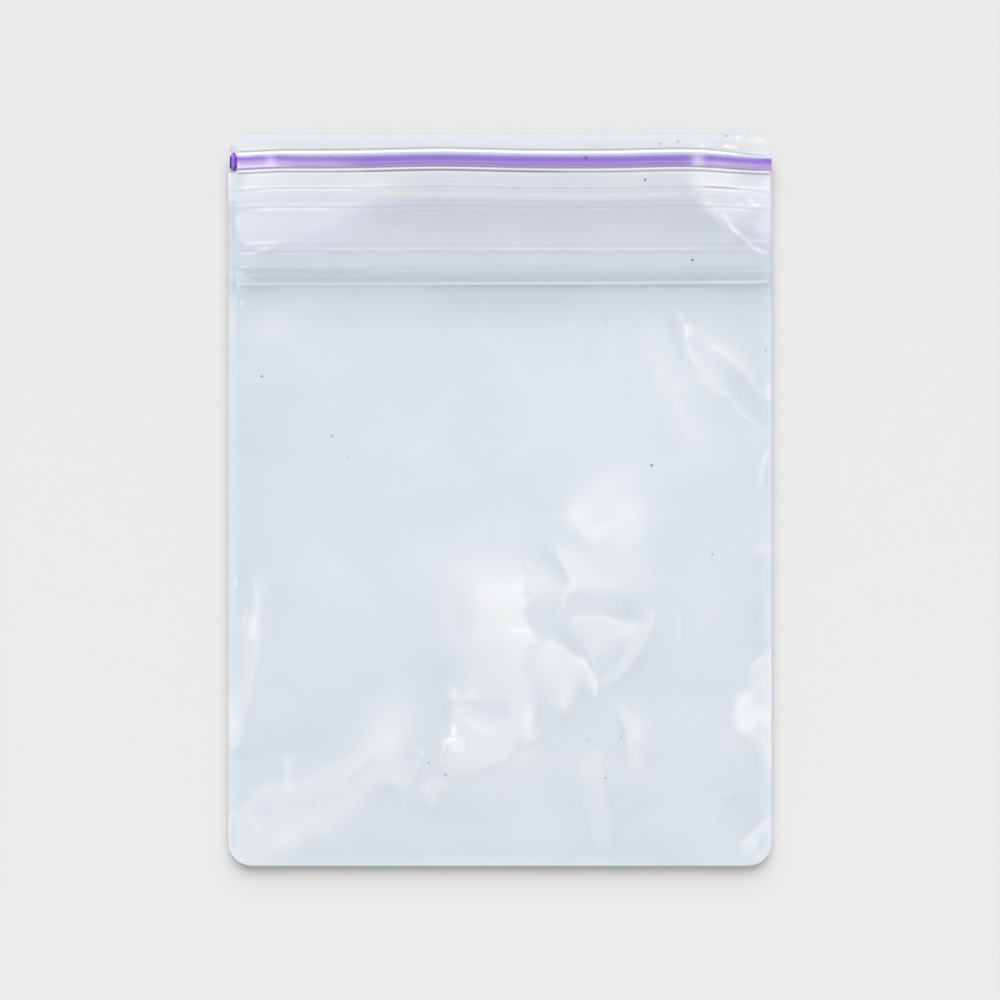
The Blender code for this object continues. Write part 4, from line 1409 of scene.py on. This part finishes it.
def bar_faces(count, sides):
    """The sides of a bar of so many sections, and a fan of triangles at each end."""
    start, last = np.arange(sides)[::-1], (count - 1) * sides + np.arange(sides)
    tips = np.concatenate((fan(count * sides, start), fan(count * sides + 1, last)))
    return grid_faces(count, sides, closed=True).tolist() + tips.tolist()


def new_bar(name, finish, x, middle, section, seat=BAR_SEAT):
    """A bar that runs across the bag along middle, seated that far above the underside."""
    points = bar_points(x, middle, underside(x, middle) + seat, section)
    return new_piece(name, points, bar_faces(len(x), len(section[0])), finish.material)


# %% [markdown]
# The track shows its two interlocked profiles as stripes: a pale upper edge, a deep core, a
# lighter lower half and a thin dark line. Three numbers are painted on its points: how far across
# the bar a point lies, how much it is whitened, and how strongly the dark core shows. The
# whitening is partly the plastic's own, where it was creased, and partly painted light: painted
# highlights at the folds and by the bead, and a paler lower half at the ends, on the side that
# faces away from the key lamp.

# %% The violet plastic
# The palest stops, at share 0, are painted light: they lift the rim of the bar that faces away from
# the key lamp, which would otherwise lie in shade.
STRIPES_AND_LIT_RIM = (
    (0.00, (0.700, 0.580, 0.930)),
    (0.07, (0.440, 0.350, 0.660)),
    (0.14, (0.245, 0.165, 0.440)),
    (0.19, (0.205, 0.120, 0.410)),
    (0.27, (0.230, 0.120, 0.460)),
    (0.40, (0.188, 0.072, 0.433)),
    (0.52, (0.156, 0.050, 0.425)),
    (0.62, (0.176, 0.076, 0.452)),
    (0.75, (0.248, 0.168, 0.486)),
    (0.86, (0.318, 0.262, 0.504)),
    (0.95, (0.430, 0.405, 0.580)),
)
# Whitened plastic and painted highlights, whose palest stop again lifts the shaded rim.
WHITENED_AND_LIT_STRIPES = (
    (0.02, (0.850, 0.760, 0.960)),
    (0.14, (0.520, 0.440, 0.660)),
    (0.35, (0.420, 0.330, 0.560)),
    (0.90, (0.460, 0.400, 0.620)),
)
DEEP_VIOLET = (0.13, 0.05, 0.35)


def violet_finish():
    """Violet plastic: stripes across the bar with a painted lighter rim, dark specks in its core,
    and whitened creases with painted highlights.
    """
    violet = Finish("violet plastic", Coat_Weight=0.2, Coat_Roughness=0.15)
    across = violet.painted("across")
    speckle = violet.noise(0.45, stretch=(0.5, 1.0, 1.0))
    dark_speck = ((speckle - 0.52) * 8.0).clamped() * violet.painted("core")
    body = violet.mix(dark_speck, violet.ramp(across, STRIPES_AND_LIT_RIM), DEEP_VIOLET)
    whitened_and_highlight = violet.ramp(across, WHITENED_AND_LIT_STRIPES)
    colour = violet.mix(violet.painted("bleach"), body, whitened_and_highlight)
    violet.set(violet.shader, {"Base Color": colour, "Roughness": 0.30 + speckle * 0.2})
    return violet


violet = violet_finish()
print("violet plastic:", len(violet.tree.nodes), "nodes")

# %% What is painted on the track
TRACK_LEFT, TRACK_RIGHT = -48.7, 49.9
LEFT_BLEND = -36.0
LEFT_FOLD, RIGHT_FOLD = -42.2, 36.4


def track_paint(along, sideways):
    """For each point of the track: the share across it, from its upper edge to its lower, how far it
    is whitened, painted highlights included, and the strength of its dark core. It whitens in a
    narrow band at each of two folds, partly as a painted highlight. It whitens along the lower half
    at both ends, partly as painted light on the side that faces away from the key lamp, and by the
    bead as a painted highlight. It whitens more and more towards the left end."""
    left_end = ease((LEFT_BLEND - along) / 8.0)
    shown = 0.5 + 0.5 * sideways - 0.12 * left_end
    lower = ease((0.15 + 0.25 * left_end - sideways) / 0.4)
    fold_whitening_and_highlight = 0.55 * bell((along - LEFT_FOLD) / 0.9) + 0.95 * bell((along - RIGHT_FOLD) / 1.1)
    left_pale = 0.50 * ease((-24.0 - along) / 8.0) + 0.05 * left_end
    after_fold = 0.65 * bell((along - 40.5) / 4.0) + 0.35 * ease((along - 42.0) / 4.0)
    highlight_by_bead = 0.5 * bell((along + 48.2) / 0.3)
    whitened_and_highlight = fold_whitening_and_highlight + left_pale * (0.2 + 0.8 * lower) + lower * (after_fold + highlight_by_bead)
    strength = 0.35 + 0.65 * ease((np.abs(along - 4.0) - 22.0) / 16.0)
    core = bell((sideways - 0.15 - 0.24 * left_end) / 0.35) * strength
    return shown, np.clip(whitened_and_highlight, 0.0, 1.0), core


# %% The violet track
x = np.linspace(TRACK_LEFT, TRACK_RIGHT, 401)
middle = TRACK_ROW - 0.14 + closure_wave(x) + 0.05 * ease((LEFT_BLEND - x) / 8.0)
section = bar_section(width=2.62, height=1.1, valley=0.15)
track = new_bar("violet_closure_track", violet, x, middle, section)
shown, whitened_and_highlight, core = track_paint(*np.meshgrid(x, section[2], indexing="ij"))
paint_points(track, "across", np.append(shown, (0.5, 0.5)))
paint_points(track, "bleach", np.append(whitened_and_highlight, (0.0, 0.0)))
paint_points(track, "core", np.append(core, (1.0, 0.3)))
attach(track, "root")
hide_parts("closure_track")

# %% [markdown]
# At the left end the track was crushed into an upright bead, which stops the bag from opening
# there. It is the same kind of bar, carried up the bag, with a knob on top. The number painted
# across it darkens its two rims and leaves a lighter stripe between them, a painted highlight.

# %% The bead's finish
BEAD_RIMS_AND_HIGHLIGHT = (
    (0.00, (0.050, 0.025, 0.120)),
    (0.20, (0.040, 0.016, 0.125)),
    (0.34, (0.250, 0.130, 0.550)),
    (0.50, (0.225, 0.100, 0.470)),
    (0.66, (0.150, 0.050, 0.380)),
    (0.80, (0.105, 0.032, 0.300)),
    (1.00, (0.190, 0.095, 0.390)),
)
bead_finish = Finish("violet bead", Roughness=0.45, Specular_IOR_Level=0.15)
bead_colour = bead_finish.ramp(bead_finish.painted("across"), BEAD_RIMS_AND_HIGHLIGHT)
bead_finish.set(bead_finish.shader, {"Base Color": bead_colour})
print("violet bead:", len(BEAD_RIMS_AND_HIGHLIGHT), "stripes")

# %% The bead at the end
BEAD_LEFT, BEAD_RIGHT = -49.68, -48.24
BEAD_BOTTOM, BEAD_TOP, KNOB_TOP = 60.65, 63.55, 63.98
BEAD_HEIGHT = 1.35
BEAD_ROUND = 0.7
KNOB_RADIUS = 0.35
BEAD_HALF = 0.725


def bead_width(y):
    """Share of the bead's width at y: a bar with round ends, or the knob where that is wider."""
    from_tip = np.clip(np.minimum(y - BEAD_BOTTOM, BEAD_TOP - y) / BEAD_ROUND, 0.0, 1.0)
    body = np.sqrt(1.0 - (1.0 - from_tip) ** 2)
    from_knob = y - KNOB_TOP + KNOB_RADIUS
    knob = np.sqrt(np.clip(KNOB_RADIUS**2 - from_knob**2, 0.0, None)) / BEAD_HALF
    return np.maximum(np.maximum(body, knob), 0.05)


y = np.linspace(BEAD_BOTTOM, KNOB_TOP, 121)
wide = bead_width(y)
middle = np.full_like(y, 0.5 * (BEAD_LEFT + BEAD_RIGHT))
seat = underside(middle, y) + BAR_SEAT
section = bar_section(BEAD_RIGHT - BEAD_LEFT, BEAD_HEIGHT)
bead_points = bar_points(y, middle, seat, section, wide, 0.4 + 0.6 * wide)[:, (1, 0, 2)]
bead_faces = [face[::-1] for face in bar_faces(len(y), len(section[0]))]
bead = new_piece("violet_track_bead", bead_points, bead_faces, bead_finish.material)
paint_points(bead, "across", (bead_points[:, 0] - BEAD_LEFT) / (BEAD_RIGHT - BEAD_LEFT))
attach(bead, "root")
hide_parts("closure_track")

# %% [markdown]
# Below the track runs a thin flange of the same plastic, seen as a violet line through the film.
# It lies a little higher than the track's own seat, and it whitens towards the left end and at
# the fold, as the track does; at the fold the whitening is partly a painted highlight.

# %% The flange of the track
FLANGE_ROW = 60.38
FLANGE_SEAT = 0.3
FLANGE_STRIPE = 0.45
x = np.linspace(-48.4, 49.6, 201)
middle = FLANGE_ROW + closure_wave(x)
section = bar_section(width=0.55, height=0.35, sides=12)
flange = new_bar("violet_track_flange", violet, x, middle, section, FLANGE_SEAT)
whitened_and_highlight = 0.95 * ease((-20.0 - x) / 10.0) + 0.5 * bell((x - 36.5) / 1.5)
bleach = np.append(np.repeat(whitened_and_highlight, len(section[0])), (0.0, 0.0))
paint_points(flange, "across", np.full(len(bleach), FLANGE_STRIPE))
paint_points(flange, "bleach", bleach)
paint_points(flange, "core", np.zeros(len(bleach)))
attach(flange, "root")
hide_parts("closure_track")

# %% [markdown]
# ## The clear seal strip
#
# At the foot of the tape a clear band seals it to the film. It is thicker than the film, so it
# looks greyer, but nothing on it needs a pattern: the film over it carries the lines.

# %% The clear strip
clear = Finish("clear strip", Base_Color=(0.46, 0.50, 0.545), Roughness=0.3, Alpha=0.55)
x = np.linspace(-47.6, 49.9, 121)
middle = np.full_like(x, STRIP_ROW - 0.2)
section = bar_section(STRIP_WIDTH, height=0.4, valley=0.05)
strip = new_bar("clear_seal_strip", clear, x, middle, section)
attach(strip, "root")
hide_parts("seal_strip")

# %% [markdown]
# ## Dust
#
# A few grains of dust lie on the film. Each grain is a low dome on a ragged ring of points, so the
# whole dust is one small mesh. A scatter of random grains would be quicker, but real dust has a
# few large grains among many small ones, so each has its own place and size.

# %% Grains of dust
GRAINS = (
    (26.7, 59.0, 0.26), (35.5, 44.3, 0.22), (27.9, 6.4, 0.24), (15.8, 63.1, 0.26),
    (-10.0, -50.4, 0.17), (-13.1, -48.2, 0.15), (29.4, 65.5, 0.14), (32.7, 66.0, 0.16),
    (41.6, 66.9, 0.15), (-43.9, 22.8, 0.20), (-31.0, 11.7, 0.16), (-28.0, 7.8, 0.15),
    (-47.4, -11.9, 0.13), (28.1, -12.8, 0.10), (13.6, -40.1, 0.11), (25.9, -31.2, 0.11),
    (22.2, -43.5, 0.13), (48.9, 27.6, 0.15), (39.0, -10.0, 0.16), (-34.2, -55.6, 0.10),
    (-15.2, -51.6, 0.11), (19.5, 33.2, 0.14), (16.0, -44.0, 0.13), (19.4, -51.0, 0.15),
    (-38.4, -62.6, 0.10), (12.2, -44.2, 0.11),
)
GRAIN_SIDES = 9
GRAIN_RINGS = 3
GRAIN_HEIGHT = 0.8
TOP_HEIGHT = 0.6
GRAIN_SINK = 0.02


def dust_points(grains, seed=5):
    """Rings of a dome: radius r (1 - k/3) at height h k/3 for k = 0, 1, 2, whose radius also
    varies at random by up to a third from one side to the next, a top and a bottom."""
    draw = np.random.default_rng(seed)
    x, y, size = np.array(grains).T
    turn = np.linspace(0.0, 2.0 * np.pi, GRAIN_SIDES, endpoint=False)
    ragged = draw.uniform(0.67, 1.33, (len(size), 1, GRAIN_SIDES))
    step = np.arange(GRAIN_RINGS)[None, :, None] / GRAIN_RINGS
    reach = size[:, None, None] * (1.0 - step) * ragged
    seat = film_height(x, y, y - closure_wave(x) * wave_share(y))
    ring_x = x[:, None, None] + reach * np.cos(turn)
    ring_y = y[:, None, None] + reach * np.sin(turn)
    height = seat[:, None, None] + size[:, None, None] * GRAIN_HEIGHT * step
    ring_z = np.broadcast_to(height, reach.shape)
    rings = np.stack((ring_x, ring_y, ring_z), axis=-1).reshape(len(size), -1, 3)
    top = np.stack((x, y, seat + TOP_HEIGHT * size), axis=-1)
    bottom = np.stack((x, y, seat - GRAIN_SINK), axis=-1)
    return np.concatenate((rings, top[:, None], bottom[:, None]), axis=1)


def dust_faces(count):
    """The sides of every dome, its top and its underside."""
    side = np.arange(GRAIN_SIDES)
    top = GRAIN_RINGS * GRAIN_SIDES
    last_ring = top - GRAIN_SIDES + side
    tips = np.concatenate((fan(top, last_ring), fan(top + 1, side[::-1])))
    first = np.arange(count)[:, None, None] * (top + 2)
    quads = grid_faces(GRAIN_RINGS, GRAIN_SIDES, closed=True) + first
    return quads.reshape(-1, 4).tolist() + (tips + first).reshape(-1, 3).tolist()


# %% The dust
dusty = Finish("grey dust", Roughness=0.9)
dust_share = dusty.noise(0.2, detail=3.0)
dust_colour = dusty.mix(dust_share, (0.09, 0.085, 0.09), (0.26, 0.24, 0.23))
dusty.set(dusty.shader, {"Base Color": dust_colour})
grain_points = dust_points(GRAINS).reshape(-1, 3)
dust = new_piece("dust_grains", grain_points, dust_faces(len(GRAINS)), dusty.material)
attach(dust, "root")
